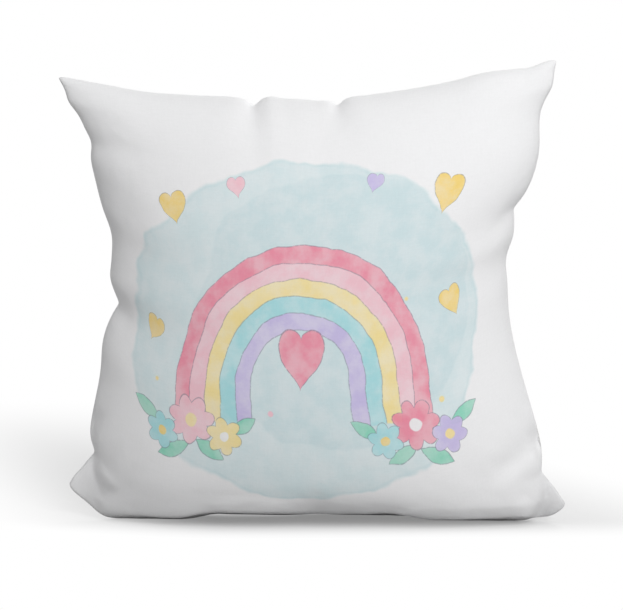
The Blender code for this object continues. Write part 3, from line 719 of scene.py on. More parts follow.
def settle(name, fine, finePinned, gathers, columnPlaces, flip):
    # a coarser net is simulated, and its moves are laid back on the fine one
    acrossRows, rowWeights = coarseNet(np.arange(fine.shape[0]))
    acrossColumns, columnWeights = coarseNet(columnPlaces)
    points = fine[np.ix_(acrossRows, acrossColumns)]
    pinned = finePinned[np.ix_(acrossRows, acrossColumns)]
    rows, columns = points.shape[:2]
    scene = bpy.context.scene
    jitter = np.random.default_rng(settling["seed"]).normal(0, settling["jitter"], points.shape)
    begin = points + jitter * (~pinned)[..., None]
    mesh = bpy.data.meshes.new(name)
    mesh.from_pydata(begin.reshape(-1, 3).tolist(), [], gridFaces(rows, columns, flip).tolist())
    item = bpy.data.objects.new(name, mesh)
    scene.collection.objects.link(item)
    hold = item.vertex_groups.new(name="hold")
    hold.add(np.flatnonzero(pinned.ravel()).tolist(), 1.0, "REPLACE")
    loose = item.vertex_groups.new(name="loose")
    for index, weight in enumerate(slackOf(points, pinned, gathers)):
        loose.add([index], float(weight), "REPLACE")
    cloth = item.modifiers.new("cloth", "CLOTH")
    for setting, value in clothSettings.items():
        setattr(cloth.settings, setting, value)
    cloth.settings.effector_weights.gravity = 0.0
    cloth.collision_settings.use_collision = False
    cloth.point_cache.frame_start = 1
    cloth.point_cache.frame_end = settling["steps"]
    for step in range(1, settling["steps"] + 1):
        scene.frame_set(step)
    shown = item.evaluated_get(bpy.context.evaluated_depsgraph_get())
    found = np.zeros(rows * columns * 3, np.float32)
    shown.data.vertices.foreach_get("co", found)
    scene.frame_set(1)
    bpy.data.objects.remove(item, do_unlink=True)
    bpy.data.meshes.remove(mesh)
    move = found.reshape(points.shape).astype(float) - points
    size = np.linalg.norm(move, axis=-1, keepdims=True)
    most = settling["most"]
    move = move * (most * np.tanh(size / most) / np.maximum(size, 1e-9))
    print(name, "settled, most moved", round(float(size.max()) * 1000, 1), "mm")
    move = np.einsum("ri,ijk,cj->rck", rowWeights, move, columnWeights)
    for _ in range(settling["smoothing"]):
        move[1:-1] = (move[:-2] + 2 * move[1:-1] + move[2:]) / 4
        move[:, 1:-1] = (move[:, :-2] + 2 * move[:, 1:-1] + move[:, 2:]) / 4
    before = np.minimum(columnPlaces.astype(int), move.shape[1] - 2)
    part = (columnPlaces - before)[:, None]
    move = move[:, before] * (1 - part) + move[:, before + 1] * part
    return fine + move * (~finePinned)[..., None]


def gridNormals(points, flip):
    across = np.gradient(points, axis=1)
    upward = np.gradient(points, axis=0)
    normal = unit(np.cross(across, upward))
    return -normal if flip else normal


def flatSizes(points):
    # arc lengths along rows and columns, from -1 to 1
    def share(axis):
        steps = np.linalg.norm(np.diff(points, axis=axis), axis=-1)
        run = np.cumsum(steps, axis=axis)
        zero = np.zeros_like(np.take(run, [0], axis=axis))
        run = np.concatenate([zero, run], axis=axis)
        return 2 * run / np.maximum(np.take(run, [-1], axis=axis), 1e-9) - 1

    return np.stack([share(1), share(0)], axis=-1)


def ringOf(rows, columns):
    index = np.arange(rows * columns).reshape(rows, columns)
    return np.concatenate([index[0, :], index[1:, -1], index[-1, -2::-1], index[-2:0:-1, 0]])


def addPiece(name, points, faces, materials, faceSlots=None, maps=None):
    mesh = bpy.data.meshes.new(name)
    mesh.from_pydata(np.asarray(points).tolist(), [], [list(map(int, face)) for face in faces])
    for material in materials:
        mesh.materials.append(material)
    if faceSlots is not None:
        mesh.polygons.foreach_set("material_index", np.asarray(faceSlots, np.int32))
    corner = np.zeros(len(mesh.loops), np.int32)
    mesh.loops.foreach_get("vertex_index", corner)
    for mapName, values in (maps or {}).items():
        layer = mesh.uv_layers.new(name=mapName)
        layer.uv.foreach_set("vector", np.asarray(values, np.float32)[corner].ravel())
    mesh.polygons.foreach_set("use_smooth", np.full(len(mesh.polygons), True))
    mesh.update()
    item = bpy.data.objects.new(name, mesh)
    bpy.context.scene.collection.objects.link(item)
    return item


def fit(item, node):
    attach(item, "cushion")
    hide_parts(node)


# turned edges: angles of the seam's lip and of the slot's rolled edge, and places in the bake map
turned = dict(lip=(30, 60, 90), slot=(45, 90, 135), slotLast=2.9)
baked = dict(size=0.86, margin=0.015, smallSize=0.1, smallPlace=0.9, lipStep=0.0012)
centimetres = 100


# a sewn panel: outer cloth, turned edge, seam allowance and the plain reverse
def sewnPanel(name, outer, plain, side, flat, thickness, materials, slotRow=None):
    rows, columns = outer.shape[:2]
    flip = side > 0
    normal = gridNormals(outer, flip)
    ring = ringOf(rows, columns)
    edge = outer.reshape(-1, 3)[ring]
    toward = leaned(np.array([0.0, -side, 0.0]))
    frontward = leaned(np.array([0.0, -1.0, 0.0]))
    along = np.roll(edge, -1, axis=0) - np.roll(edge, 1, axis=0)
    out = unit(np.cross(along, frontward))
    turn = np.broadcast_to(toward, out.shape).copy()
    lip = np.full(len(ring), cover["seamLip"])
    isSlot = np.zeros(len(ring), bool)
    if slotRow is not None:
        index = np.arange(rows * columns).reshape(rows, columns)
        isSlot = np.isin(ring, index[slotRow, 1:-1])
        beside = index[1 if slotRow == 0 else -2]
        flatPoints = outer.reshape(-1, 3)
        for place in np.flatnonzero(isSlot):
            column = ring[place] % columns
            turn[place] = unit(edge[place] - flatPoints[beside[column]])
            out[place] = normal.reshape(-1, 3)[ring[place]]
            lip[place] = thickness / 2
    rings = []
    for angle, slotAngle in zip(turned["lip"], turned["slot"]):
        bend = np.radians(np.where(isSlot, slotAngle, angle))[:, None]
        rings.append(edge + lip[:, None] * (np.sin(bend) * turn - (1 - np.cos(bend)) * out))
    corners = outer[[0, 0, -1, -1], [0, -1, 0, -1]]
    fromCorner = np.linalg.norm(edge[:, None] - corners, axis=-1).min(axis=1)
    allowance = np.clip(cover["allowanceShare"] * fromCorner, cover["allowanceLeast"], cover["allowance"])
    deep = rings[-1] - allowance[:, None] * out
    last = turned["slotLast"]
    slotEnd = edge + lip[:, None] * (math.sin(last) * turn - (1 - math.cos(last)) * out)
    rings.append(np.where(isSlot[:, None], slotEnd, deep))
    inner = outer - thickness * normal
    innerFlat = inner.reshape(-1, 3)
    innerFlat[ring] = edge - thickness * out
    points = np.concatenate([outer.reshape(-1, 3), *rings, innerFlat])
    count, loop = rows * columns, len(ring)
    base = count + loop * len(rings)
    faces = [gridFaces(rows, columns, flip), gridFaces(rows, columns, not flip) + base]
    slots = [np.zeros(len(faces[0]), int), np.ones(len(faces[0]), int)]
    bands = [ring] + [count + loop * k + np.arange(loop) for k in range(len(rings))] + [ring + base]
    for first, second in zip(bands[:-1], bands[1:]):
        faces.append(strips(first, second, flip))
        slots.append(np.zeros(loop, int))
    sheet = (flatSizes(plain) * np.array(flat) / 2 * centimetres).reshape(-1, 2)
    sheetMap = np.concatenate([sheet, *[sheet[ring]] * len(rings), sheet])
    scale = baked["size"] / max(flat) / centimetres
    bake = (sheet + np.array(flat) * centimetres / 2) * scale
    small = bake * baked["smallSize"] + baked["smallPlace"]
    bake = bake + baked["margin"]
    lips = [bake[ring] + baked["lipStep"] * (k + 1) * np.sign(sheet[ring]) for k in range(len(rings))]
    bakeMap = np.concatenate([bake, *lips, small])
    maps = {"cloth": sheetMap, "OFBake": bakeMap}
    item = addPiece(name, points, np.concatenate(faces), materials, np.concatenate(slots), maps)
    lipCorners(item, bands[-2], bands[-1], bakeMap)
    return item


def lipCorners(item, lastRing, innerRing, bakeMap):
    # the last strip keeps to the lip's place in the map
    partner = dict(zip(innerRing.tolist(), lastRing.tolist()))
    layer = item.data.uv_layers["OFBake"]
    last = set(lastRing.tolist())
    for face in item.data.polygons[-len(innerRing) :]:
        for corner in face.loop_indices:
            vertex = item.data.loops[corner].vertex_index
            if vertex not in last:
                layer.uv[corner].vector = bakeMap[partner[vertex]]


# threads and coils as tubes along paths of equal point count
def tubes(name, paths, ups, radius, sides, material, closed=False, taper=None):
    paths = np.asarray(paths, float)
    count, length = paths.shape[:2]
    if closed:
        tangent = np.roll(paths, -1, axis=1) - np.roll(paths, 1, axis=1)
    else:
        tangent = np.gradient(paths, axis=1)
    tangent = unit(tangent)
    across = unit(np.cross(tangent, np.broadcast_to(ups, paths.shape)))
    rise = np.cross(across, tangent)
    angle = np.arange(sides) * 2 * math.pi / sides
    width = radius * (np.ones(length) if taper is None else np.asarray(taper))
    circle = np.cos(angle)[:, None] * across[:, :, None] + np.sin(angle)[:, None] * rise[:, :, None]
    points = paths[:, :, None] + width[:, None, None] * circle
    index = np.arange(count * length * sides).reshape(count, length, sides)
    first = index if closed else index[:, :-1]
    second = np.roll(index, -1, axis=1) if closed else index[:, 1:]
    around = [np.roll(first, -1, axis=2), np.roll(second, -1, axis=2)]
    faces = np.stack([first, around[0], around[1], second], axis=-1).reshape(-1, 4).tolist()
    if not closed:
        faces = faces + index[:, 0, ::-1].tolist() + index[:, -1].tolist()
    steps = np.linalg.norm(np.diff(paths, axis=1), axis=-1)
    run = np.concatenate([np.zeros((count, 1)), np.cumsum(steps, axis=1)], axis=1) * 1000
    lay = np.stack(np.broadcast_arrays(run[:, :, None], angle / (2 * math.pi)), axis=-1)
    return addPiece(name, points.reshape(-1, 3), faces, [material], None, {"lay": lay.reshape(-1, 2)})


# finishes
# ridge is the share of painted shade along the weave's over and under
weave = dict(pitch=0.07, relief=0.00016, slub=0.05, along=0.7, across=9.0, ridge=0.012)


def weaveOf(start, flat):
    # plain weave over and under, with slubs along both threads
    x, y = flat.axes()
    turn = 2 * math.pi / weave["pitch"]
    ridge = (x * turn).sin() * (y * turn).sin()
    along, across = weave["along"], weave["across"]
    slubs = []
    for scale in ((along, across, 1.0), (across, along, 1.0)):
        stretch = start.node("Mapping", None, {"Vector": flat, "Scale": scale})
        slubs.append(noise(start, stretch, 1.0, 3.0))
    return ridge, slubs[0] + slubs[1] - 1.0


def wovenCloth(name, tone=None):
    # painted with the print where no tone is given
    fixed = dict(Sheen_Weight=0.15, Sheen_Roughness=0.5, Specular_IOR_Level=0.25)
    material, shader, start = newFinish(name, 0.8, **fixed)
    flat = start.node("UVMap", {"uv_map": "cloth"})
    ridge, slub = weaveOf(start, flat)
    if tone is None:
        art = paintPicture(start, flat)
        tone, uneven = art["colour"], (art["grain"] - 0.5) * 0.05
    else:
        uneven = (noise(start, flat, 0.12, 2.0) - 0.5) * 0.03
    # slub and uneven tone of the yarn, with painted shade in the hollows of the weave from the ridge
    yarnToneAndWeaveShade = slub * weave["slub"] + uneven + ridge * weave["ridge"]
    height = 0.5 * ridge + 0.9 * slub
    dress(start, shader, tone, 1.0 + yarnToneAndWeaveShade, 0.8 + slub * 0.12, 0.35, weave["relief"], height)
    return material


# generic pastel print: a rainbow, daisies, hearts and dots on a soft wash
prints = dict(
    white=paint(248, 248, 249),
    wash=paint(216, 234, 237),
    washDeep=paint(196, 222, 227),
    rose=paint(244, 146, 168),
    pink=paint(249, 199, 210),
    butter=paint(252, 230, 158),
    aqua=paint(172, 226, 231),
    lavender=paint(207, 195, 236),
    mint=paint(142, 219, 193),
    gold=paint(250, 217, 118),
    pencil=paint(120, 124, 140),
    washHalf=(17.2, 14.6),
    washDrop=0.4,
    dotReach=0.86,
    dotTones=((0.0, "pink"), (0.3, "butter"), (0.55, "white"), (0.8, "lavender")),
    archFoot=-4.6,
    archInner=4.4,
    archBand=1.42,
    archEnd=-8.4,
    archBlend=0.004,
    archTones=("lavender", "aqua", "butter", "pink", "rose"),
    hearts=(
        (-12.2, 9.6, 1.25, 14, "gold"),
        (12.4, 10.4, 1.45, -12, "gold"),
        (-14.6, -1.6, 1.0, -16, "gold"),
        (14.4, 0.8, 1.1, 18, "gold"),
        (0.0, -3.2, 2.1, 0, "rose"),
        (-6.4, 11.6, 0.8, 10, "pink"),
        (5.8, 12.0, 0.75, -14, "lavender"),
    ),
    daisies=(
        (-10.0, -8.4, 2.1, 7, "pink", "butter"),
        (-7.0, -9.6, 1.6, 6, "butter", "white"),
        (-12.8, -9.8, 1.5, 6, "aqua", "gold"),
        (9.8, -8.5, 2.1, 7, "rose", "white"),
        (12.7, -9.7, 1.6, 6, "lavender", "butter"),
        (7.0, -9.7, 1.5, 6, "aqua", "gold"),
    ),
    leaves=(
        (-8.3, -10.9, 1.5, 150, "mint"),
        (-11.6, -11.2, 1.6, 28, "mint"),
        (-14.4, -8.4, 1.5, 160, "mint"),
        (-5.3, -8.6, 1.4, 32, "mint"),
        (8.4, -11.0, 1.5, 30, "mint"),
        (11.4, -11.3, 1.6, 152, "mint"),
        (14.3, -8.3, 1.5, 24, "mint"),
        (5.3, -8.7, 1.4, 148, "mint"),
    ),
)


def spotOf(start, flat, x, y, size, tilt):
    # the flat map as one motif sees it
    turn = (0.0, 0.0, math.radians(tilt))
    inputs = {"Vector": flat, "Location": (x, y, 0.0), "Rotation": turn, "Scale": (size, size, 1.0)}
    return start.node("Mapping", {"vector_type": "TEXTURE"}, inputs)


def heartShape(spot):
    x, y = spot.axes()
    lift = y - abs(x).root() * 0.78
    return (x * x + lift * lift).root() - 1.0


def daisyShape(start, spot, petals):
    x, y = spot.axes()
    away = (x * x + y * y).root()
    angle = start.math("ARCTAN2", y, x)
    return away - (0.70 + abs((angle * (petals / 2)).sin()) * 0.34), away


def leafShape(spot):
    x, y = spot.axes()
    return abs(y) + x * x * 0.42 - 0.42


def newPicture(start, flat):
    # hand-drawn edges, pools of dried colour and broken pencil lines
    wobble = start.node("TexNoise", None, {"Vector": flat, "Scale": 0.55, "Detail": 2.0}, out="Color")
    shift = start.node("VectorMath", {"operation": "SUBTRACT"}, {0: wobble, 1: (0.5, 0.5, 0.5)})
    drawn = {0: shift, 1: (0.45, 0.45, 0.0), 2: flat}
    grain = noise(start, flat, 4.2, 3.0)
    return dict(
        drawn=start.node("VectorMath", {"operation": "MULTIPLY_ADD"}, drawn),
        pool=noise(start, flat, 0.42, 4.0, Roughness=0.6).below(0.5, 0.16),
        grain=grain,
        broken=grain.below(0.62, 0.14),
        colour=prints["white"],
    )


def fill(art, tone, mask, strength=0.95, pale=0.30):
    tint = (art["pool"] * pale).mixed(tone, prints["white"]) if pale else tone
    art["colour"] = (mask * strength).mixed(art["colour"], tint)


def pencil(art, mask):
    art["colour"] = mask.mixed(art["colour"], prints["pencil"])


def outline(art, shape, width):
    pencil(art, abs(shape).below(width, width * 0.6) * art["broken"] * 0.55)


def washReach(x, y):
    # one along the edge of the wash
    across = x / prints["washHalf"][0]
    upward = (y + prints["washDrop"]) / prints["washHalf"][1]
    return (across * across + upward * upward).root()


def paintPicture(start, flat):
    art = newPicture(start, flat)
    drawn = art["drawn"]
    x, y = drawn.axes()
    # wash, laid in two soft pools
    uneven = noise(start, flat, 0.16, 3.0) - 0.5
    wide = washReach(x, y) + uneven * 0.24
    fill(art, prints["wash"], wide.below(1.0, 0.014), 0.85)
    fill(art, prints["washDeep"], abs(wide - 0.984).below(0.008, 0.010), 0.30)  # tide line
    inner = (x - 3.0) * (x - 3.0) * 0.8 + (y - 1.5) * (y - 1.5)
    inner = inner.root() / 11.5 + uneven * 0.30
    fill(art, prints["washDeep"], inner.below(1.0, 0.016), 0.38)
    # dots
    cell = {"Vector": flat, "Scale": 0.34, "Randomness": 0.8}
    facts = ("Distance", "Color", "Position")
    away, pick, middle = [start.node("TexVoronoi", None, cell, out=fact) for fact in facts]
    tones = [(place, prints[tone]) for place, tone in prints["dotTones"]]
    dotTone = start.node("ValToRGB", {"stops": tones}, {0: pick.axes()[0]})
    dotTone.socket.node.color_ramp.interpolation = "CONSTANT"
    inWash = washReach(*middle.axes()).below(prints["dotReach"], 0.001)
    fill(art, dotTone, away.below(0.085, 0.02) * inWash, 0.9, pale=0)
    # rainbow
    lift = (y - prints["archFoot"]).most(0.0)
    place = ((x * x + lift * lift).root() - prints["archInner"]) / prints["archBand"]
    count = len(prints["archTones"])
    stops = []
    for number, tone in enumerate(prints["archTones"]):
        stops.append((number / count + prints["archBlend"], prints[tone]))
        stops.append(((number + 1) / count - prints["archBlend"], prints[tone]))
    bands = start.node("ValToRGB", {"stops": stops}, {0: place / count})
    ends = (0.0 - y + uneven * 2.0).below(-prints["archEnd"], 0.10)
    across = abs(place - count / 2)
    fill(art, bands, across.below(count / 2, 0.03) * ends, pale=0.34)
    between = start.math("PINGPONG", place, 0.5).below(0.03, 0.022)
    pencil(art, between * across.below(count / 2 + 0.06, 0.02) * ends * art["broken"] * 0.5)
    # leaves, daisies and hearts
    for *spot, tone in prints["leaves"]:
        shape = leafShape(spotOf(start, drawn, *spot))
        fill(art, prints[tone], shape.below(0.0, 0.04))
        outline(art, shape, 0.03)
    for *spot, petals, tone, heart in prints["daisies"]:
        shape, away = daisyShape(start, spotOf(start, drawn, *spot, 12 * petals), petals)
        fill(art, prints[tone], shape.below(0.0, 0.03))
        outline(art, shape, 0.025)
        fill(art, prints[heart], away.below(0.27, 0.03))
    for *spot, tone in prints["hearts"]:
        shape = heartShape(spotOf(start, drawn, *spot))
        fill(art, prints[tone], shape.below(0.0, 0.035))
        outline(art, shape, 0.025)
    return art


def twistedThread(name, tone):
    # three plies round each other
    material, shader, start = newFinish(name, 0.6, Sheen_Weight=0.3, Specular_IOR_Level=0.4)
    lay = start.node("UVMap", {"uv_map": "lay"})
    run, around = lay.axes()
    ply = ((run * 0.9 + around * 3.0) * (2 * math.pi)).sin()
    fuzz = noise(start, lay, 6.0, 2.0)
    # lighter on the crown of each ply and darker in the grooves between plies: painted shade; the fuzz
    # varies the tone at random
    value = 0.96 + ply * 0.05 + (fuzz - 0.5) * 0.1
    dress(start, shader, tone, value, 0.55 + fuzz * 0.2, 0.6, 0.0001, ply)
    return material


def wovenTape(name, tone):
    # herringbone twill
    material, shader, start = newFinish(name, 0.75, Sheen_Weight=0.1, Specular_IOR_Level=0.3)
    flat = start.node("UVMap", {"uv_map": "cloth"})
    x, y = flat.axes()
    fold = start.math("PINGPONG", y, 0.2)
    rib = ((x + fold * 1.4) * (2 * math.pi / 0.085)).sin()
    fuzz = noise(start, flat, 9.0, 3.0)
    # darker in the hollows between the twill ribs: painted shade; the fuzz varies the tone at random
    value = 0.97 + rib * 0.05 + (fuzz - 0.5) * 0.1
    dress(start, shader, tone, value, 0.7 + fuzz * 0.15, 0.5, 0.00015, rib + fuzz * 0.5)
    return material


def coilNylon(name, tone):
    material, shader, start = newFinish(name, 0.4, Specular_IOR_Level=0.5)
    cloud = noise(start, start.node("TexCoord", None, None, out="Object"), 260.0, 3.0)
    dress(start, shader, tone, 0.95 + cloud * 0.1, 0.32 + cloud * 0.22, 0.15, 0.0001, cloud)
    return material


def platedMetal(name, tone):
    # bright plating with hair scratches and dull patches
    material, shader, start = newFinish(name, 0.3, Metallic=1.0)
    place = start.node("TexCoord", None, None, out="Object")
    dull = noise(start, place, 420.0, 4.0)
    drag = start.node("Mapping", None, {"Vector": place, "Scale": (300.0, 2600.0, 2600.0)})
    hair = noise(start, drag, 1.0, 2.0)
    dress(start, shader, tone, 0.9 + dull * 0.18, 0.2 + dull * 0.16 + hair * 0.1, 0.12, 0.00005, hair)
    return material


def bondedLining(name, tone):
    # non-woven lining with its grid of bonding points
    material, shader, start = newFinish(name, 0.85, Specular_IOR_Level=0.2)
    flat = start.node("UVMap", {"uv_map": "cloth"})
    x, y = flat.axes()
    turn = 2 * math.pi / 0.28
    dot = (x * turn).sin() * (y * turn).sin()
    fibre = noise(start, flat, 2.4, 5.0, Distortion=1.2)
    value = 0.94 + fibre * 0.1 + dot * 0.02
    dress(start, shader, tone, value, 0.8 + fibre * 0.1, 0.5, 0.0003, dot * 0.5 + fibre)
    return material


def looseFibre(name, tone):
    material, shader, start = newFinish(name, 0.95, Sheen_Weight=0.4, Specular_IOR_Level=0.1)
    place = start.node("TexCoord", None, None, out="Object")
    wisp = noise(start, place, 70.0, 6.0, Distortion=2.5)
    dress(start, shader, tone, 0.9 + wisp * 0.16, 0.88 + wisp * 0.1, 0.8, 0.002, wisp)
    return material


printFinish = wovenCloth("printedCloth")
clothFinish = wovenCloth("plainCloth", paint(246, 246, 246))
reverseFinish = wovenCloth("clothReverse", paint(238, 238, 236))
threadFinish = twistedThread("sewingThread", paint(240, 240, 238))
tapeFinish = wovenTape("zipTape", paint(236, 236, 234))
nylonFinish = coilNylon("zipNylon", paint(232, 232, 228))
metalFinish = platedMetal("zipMetal", (0.66, 0.66, 0.65, 1.0))
liningFinish = bondedLining("insertLining", paint(240, 240, 236))
fibreFinish = looseFibre("fibreFilling", paint(245, 245, 242))
print("finishes made")


# front panel
def edgeFolds(u, v):
    # creases that run in from the puckers, with a raised shoulder on each side
    s, t = (u + 1) / 2, (v + 1) / 2
    total = np.zeros(np.broadcast(u, v).shape)
    runs = (
        (s, 1 - t, pucker["top"], cover["topWidth"], -1),
        (t, s, pucker["left"][1:], cover["topHeight"], 1),
        (t, 1 - s, pucker["right"][1:], cover["topHeight"], -1),
        (s, t, pucker["bottom"], cover["bottomWidth"], -1),
    )
    for along, away, places, length, turn in runs:
        for number, place in enumerate(places):
            far = away * length
            drift = (-turn if number % 2 else turn) * pucker["foldDrift"] * far
            width = pucker["foldWidth"] + pucker["foldWiden"] * far
            q = ((along - place) * length - drift) / width
            crease = (1 - pucker["shoulder"] * q * q) * np.exp(-q * q / pucker["shoulderFade"])
            total = total + crease * np.exp(-far / pucker["foldReach"])
    return total * pucker["foldDepth"]


def earFlaps(u, v, height):
    # step down from the stuffed body to the flat ear, along a round edge
    x, z = seamPlane(u, v)
    total = np.zeros(x.shape)
    for flap in flaps:
        middle = np.array(flap["middle"])
        way = unit(np.array(flap["toward"]))
        away = np.hypot(x - middle[0], z - middle[1])
        toward = ((x - middle[0]) * way[0] + (z - middle[1]) * way[1]) / np.maximum(away, 1e-9)
        beyond = away - flap["radius"]
        step = eased(np.clip(beyond / flap["rise"] + 0.5, 0, 1))
        ear = flap["depth"] * step * np.exp(-np.maximum(beyond, 0) / flap["reach"])
        body = flap["swell"] * (1 - step) * np.exp(-np.maximum(-beyond, 0) / flapTurn["swellReach"])
        total = total + (ear - body) * fade(1 - toward, flapTurn["full"], flapTurn["gone"])
    return np.minimum(total, flapTurn["share"] * height)


def slantFolds(u, v):
    form = slantForm
    x, z = seamPlane(u, v)
    total = np.zeros(x.shape)
    for fold in slants:
        start, end = np.array(fold["start"]), np.array(fold["end"])
        length = np.linalg.norm(end - start)
        way = (end - start) / length
        along = ((x - start[0]) * way[0] + (z - start[1]) * way[1]) / length
        across = (x - start[0]) * way[1] - (z - start[1]) * way[0]
        q = across / fold["width"]
        crease = fold["depth"] * (1 - form["shoulder"] * q * q) * np.exp(-q * q / form["shoulderFade"])
        total = total + crease * fade(along - form["middle"], form["full"], form["gone"])
    return total


def gatherPoints(side):
    places = [(2 * s - 1, 1.0) for s in pucker["top"]]
    places += [(-1.0, 2 * t - 1) for t in pucker["left"]]
    places += [(1.0, 2 * t - 1) for t in pucker["right"]]
    places += [(2 * s - 1, -1.0) for s in pucker["bottom"]]
    u, v = np.array(places).T
    return standing(halfSurface(u, v, side))


def panelPoints(u, v, side):
    points = halfSurface(u, v, side)
    rim = fade(np.maximum(np.abs(u), np.abs(v)), 0.0, 1.0) ** pucker["rimPower"]
    inward = edgeFolds(u, v) * np.minimum(rim * pucker["rimRise"], 1.0)
    crownHeight = cover["frontCrown"] if side < 0 else cover["backCrown"]
    inward = inward + slantFolds(u, v) + earFlaps(u, v, crownHeight * crown(u, v))
    points[..., 1] = points[..., 1] - side * inward
    return points


def settled(name, points, pinned, line, side):
    regular = spaced(np.linspace(-1, 1, cover["columns"]))
    places = np.interp(line, regular, np.arange(len(regular)))
    points = settle(name, points, pinned, gatherPoints(side), places, side > 0)
    points[..., 2] = np.maximum(points[..., 2], 0.0)
    return points


def rimOf(shape):
    rim = np.zeros(shape, bool)
    rim[[0, -1]] = True
    rim[:, [0, -1]] = True
    return rim


def makeFront():
    line = spaced(np.linspace(-1, 1, cover["columns"]))
    rise = spaced(np.linspace(-1, 1, cover["rows"]))
    u, v = np.meshgrid(line, rise)
    points = standing(panelPoints(u, v, -1))
    points = settled("coverFront", points, rimOf(u.shape), line, -1)
    flat = (cover["flatSide"], cover["flatSide"])
    plain = halfSurface(u, v, -1, 0.0)
    item = sewnPanel("coverFront", points, plain, -1, flat, cover["cloth"], [printFinish, reverseFinish])
    fit(item, "front_panel")


makeFront()
print("front panel sewn")


# back panels, either side of the zip
back = dict(upperRows=140, lowerRows=64, hemRows=6, endColumns=7, heldPast=0.003, plainPast=(0.004, 0.03))


def slotHalfHeight(x):
    # straight sides and half-round ends
    opening = slotHalf * math.cos(zipSlope)
    end = zipHalf + zipper["slotEnd"]
    closed = zipper["closedSlot"] / 2
    past = np.clip((np.abs(x) - end) / zipper["slotTaper"], 0, 1)
    return closed + (opening - closed) * np.sqrt(1 - past**2)


def backLine():
    # the columns of the back, closer together where the slot ends
    line = spaced(np.linspace(-1, 1, cover["columns"]))
    x = seamPlane(line, heightToV(line, np.full_like(line, zipper["height"])))[0]
    end = zipHalf + zipper["slotEnd"]
    past = np.sin(np.linspace(0, math.pi / 2, back["endColumns"])) * zipper["slotTaper"]
    spots = np.concatenate([end + past, -end - past])
    apart = np.abs(np.abs(x) - end - zipper["slotTaper"] / 2) > zipper["slotTaper"]
    return np.sort(np.concatenate([line[apart], np.interp(spots, x, line)]))


def makeBack(name, sign, rows, node):
    line = backLine()
    middle = heightToV(line, np.full_like(line, zipper["height"]))
    x = seamPlane(line, middle)[0]
    slotV = heightToV(line, zipper["height"] + sign * slotHalfHeight(x))
    hemV = heightToV(line, np.full_like(line, zipper["height"] + sign * hemHeight))
    share = np.linspace(0, 1, back["hemRows"])[:-1, None]
    hem = slotV + (hemV - slotV) * share
    share = spaced(np.linspace(0, 1, rows - back["hemRows"]))[:, None]
    v = np.concatenate([hem, hemV + (sign - hemV) * share])
    if sign < 0:
        v = v[::-1]
    u = np.broadcast_to(line, v.shape)
    plain = standing(halfSurface(u, v, 1))
    points = standing(panelPoints(u, v, 1))
    height = seamPlane(u, v)[1] - zipper["height"]
    full, gone = back["plainPast"]
    band = fade(height, hemHeight + full, hemHeight + gone)[..., None]
    points = points + (plain - points) * band
    pinned = rimOf(u.shape) | (np.abs(height) < hemHeight + back["heldPast"])
    points = settled(name, points, pinned, line, 1)
    tall = float(np.linalg.norm(np.diff(points[:, len(line) // 2], axis=0), axis=-1).sum())
    flat = (cover["flatSide"], round(tall + cover["seamTaken"], 3))
    slotRow = 0 if sign > 0 else len(points) - 1
    smooth = halfSurface(u, v, 1, 0.0)
    item = sewnPanel(name, points, smooth, 1, flat, cover["cloth"], [clothFinish, reverseFinish], slotRow)
    fit(item, node)


makeBack("coverBackUpper", 1, back["upperRows"], "back_panel_upper")
makeBack("coverBackLower", -1, back["lowerRows"], "back_panel_lower")
print("back panels sewn")


# edge seam thread, stitched from lip to lip
seam = dict(
    stitch=0.0026,
    thread=0.00030,
    sway=0.00055,
    sink=0.0002,
    rounding=0.0012,
    roundingSteps=6,
    roughCount=40,
    coverCount=400,
    insertCount=200,
)


def squareRing(size):
    # once round the square from -1 to 1
    line, one = np.linspace(-1, 1, size)[:-1], np.ones(size - 1)
    return np.concatenate([line, one, -line, -one]), np.concatenate([-one, line, one, -line])


def evenLoop(u, v, count):
    path = np.stack(seamPlane(u, v), axis=-1)
    closed = np.concatenate([path, path[:1]])
    run = np.concatenate([[0], np.cumsum(np.linalg.norm(np.diff(closed, axis=0), axis=1))])
    want = np.linspace(0, run[-1], count, endpoint=False)
    even = np.stack([np.interp(want, run, closed[:, axis]) for axis in range(2)], axis=-1)
    rounds = int(seam["rounding"] / (run[-1] / count)) * seam["roundingSteps"]
    for _ in range(max(1, rounds)):
        even = (np.roll(even, 1, axis=0) + 2 * even + np.roll(even, -1, axis=0)) / 4
    along = unit(np.roll(even, -1, axis=0) - np.roll(even, 1, axis=0))
    out = np.stack([along[:, 1], -along[:, 0]], axis=-1)
    return even - seam["sink"] * out, out, run[-1]


def makeSeamThread(name, u, v, floor, node):
    length = evenLoop(u, v, seam["roughCount"])[2]
    stitches = int(length / seam["stitch"])
    path, out, _ = evenLoop(u, v, stitches * 4)
    wave = np.tile([0.0, 1.0, 0.0, -1.0], stitches) * seam["sway"]
    points = np.stack([path[:, 0], wave, path[:, 1]], axis=-1)
    ups = leaned(np.stack([out[:, 0], np.zeros(len(out)), out[:, 1]], axis=-1))
    item = tubes(name, [standing(points, floor)], ups[None], seam["thread"], 6, threadFinish, closed=True)
    fit(item, node)


makeSeamThread("seamStitches", *squareRing(seam["coverCount"]), seam["thread"], "seam_thread")
print("edge seam stitched")


# zip: tapes, coils, stitch lines and thread bars
def zipPoints(run, across, outward):
    values = [np.asarray(value, float) for value in (run, across, outward)]
    run, across, outward = np.broadcast_arrays(*values)
    angle = run / zipRadius
    radial = np.stack([-np.sin(angle), np.cos(angle), np.zeros_like(angle)], axis=-1)
    up = np.array([0.0, 0.0, 1.0])
    side = math.sin(zipSlope) * radial + math.cos(zipSlope) * up
    outer = math.cos(zipSlope) * radial - math.sin(zipSlope) * up
    middle = np.array([0.0, zipCentre, zipper["height"]]) + zipRadius * radial
    return standing(middle + across[..., None] * side + outward[..., None] * outer)


def zipOutward(run):
    step = 0.001
    away = zipPoints(run, 0.0, step) - zipPoints(run, 0.0, 0.0)
    return away / step


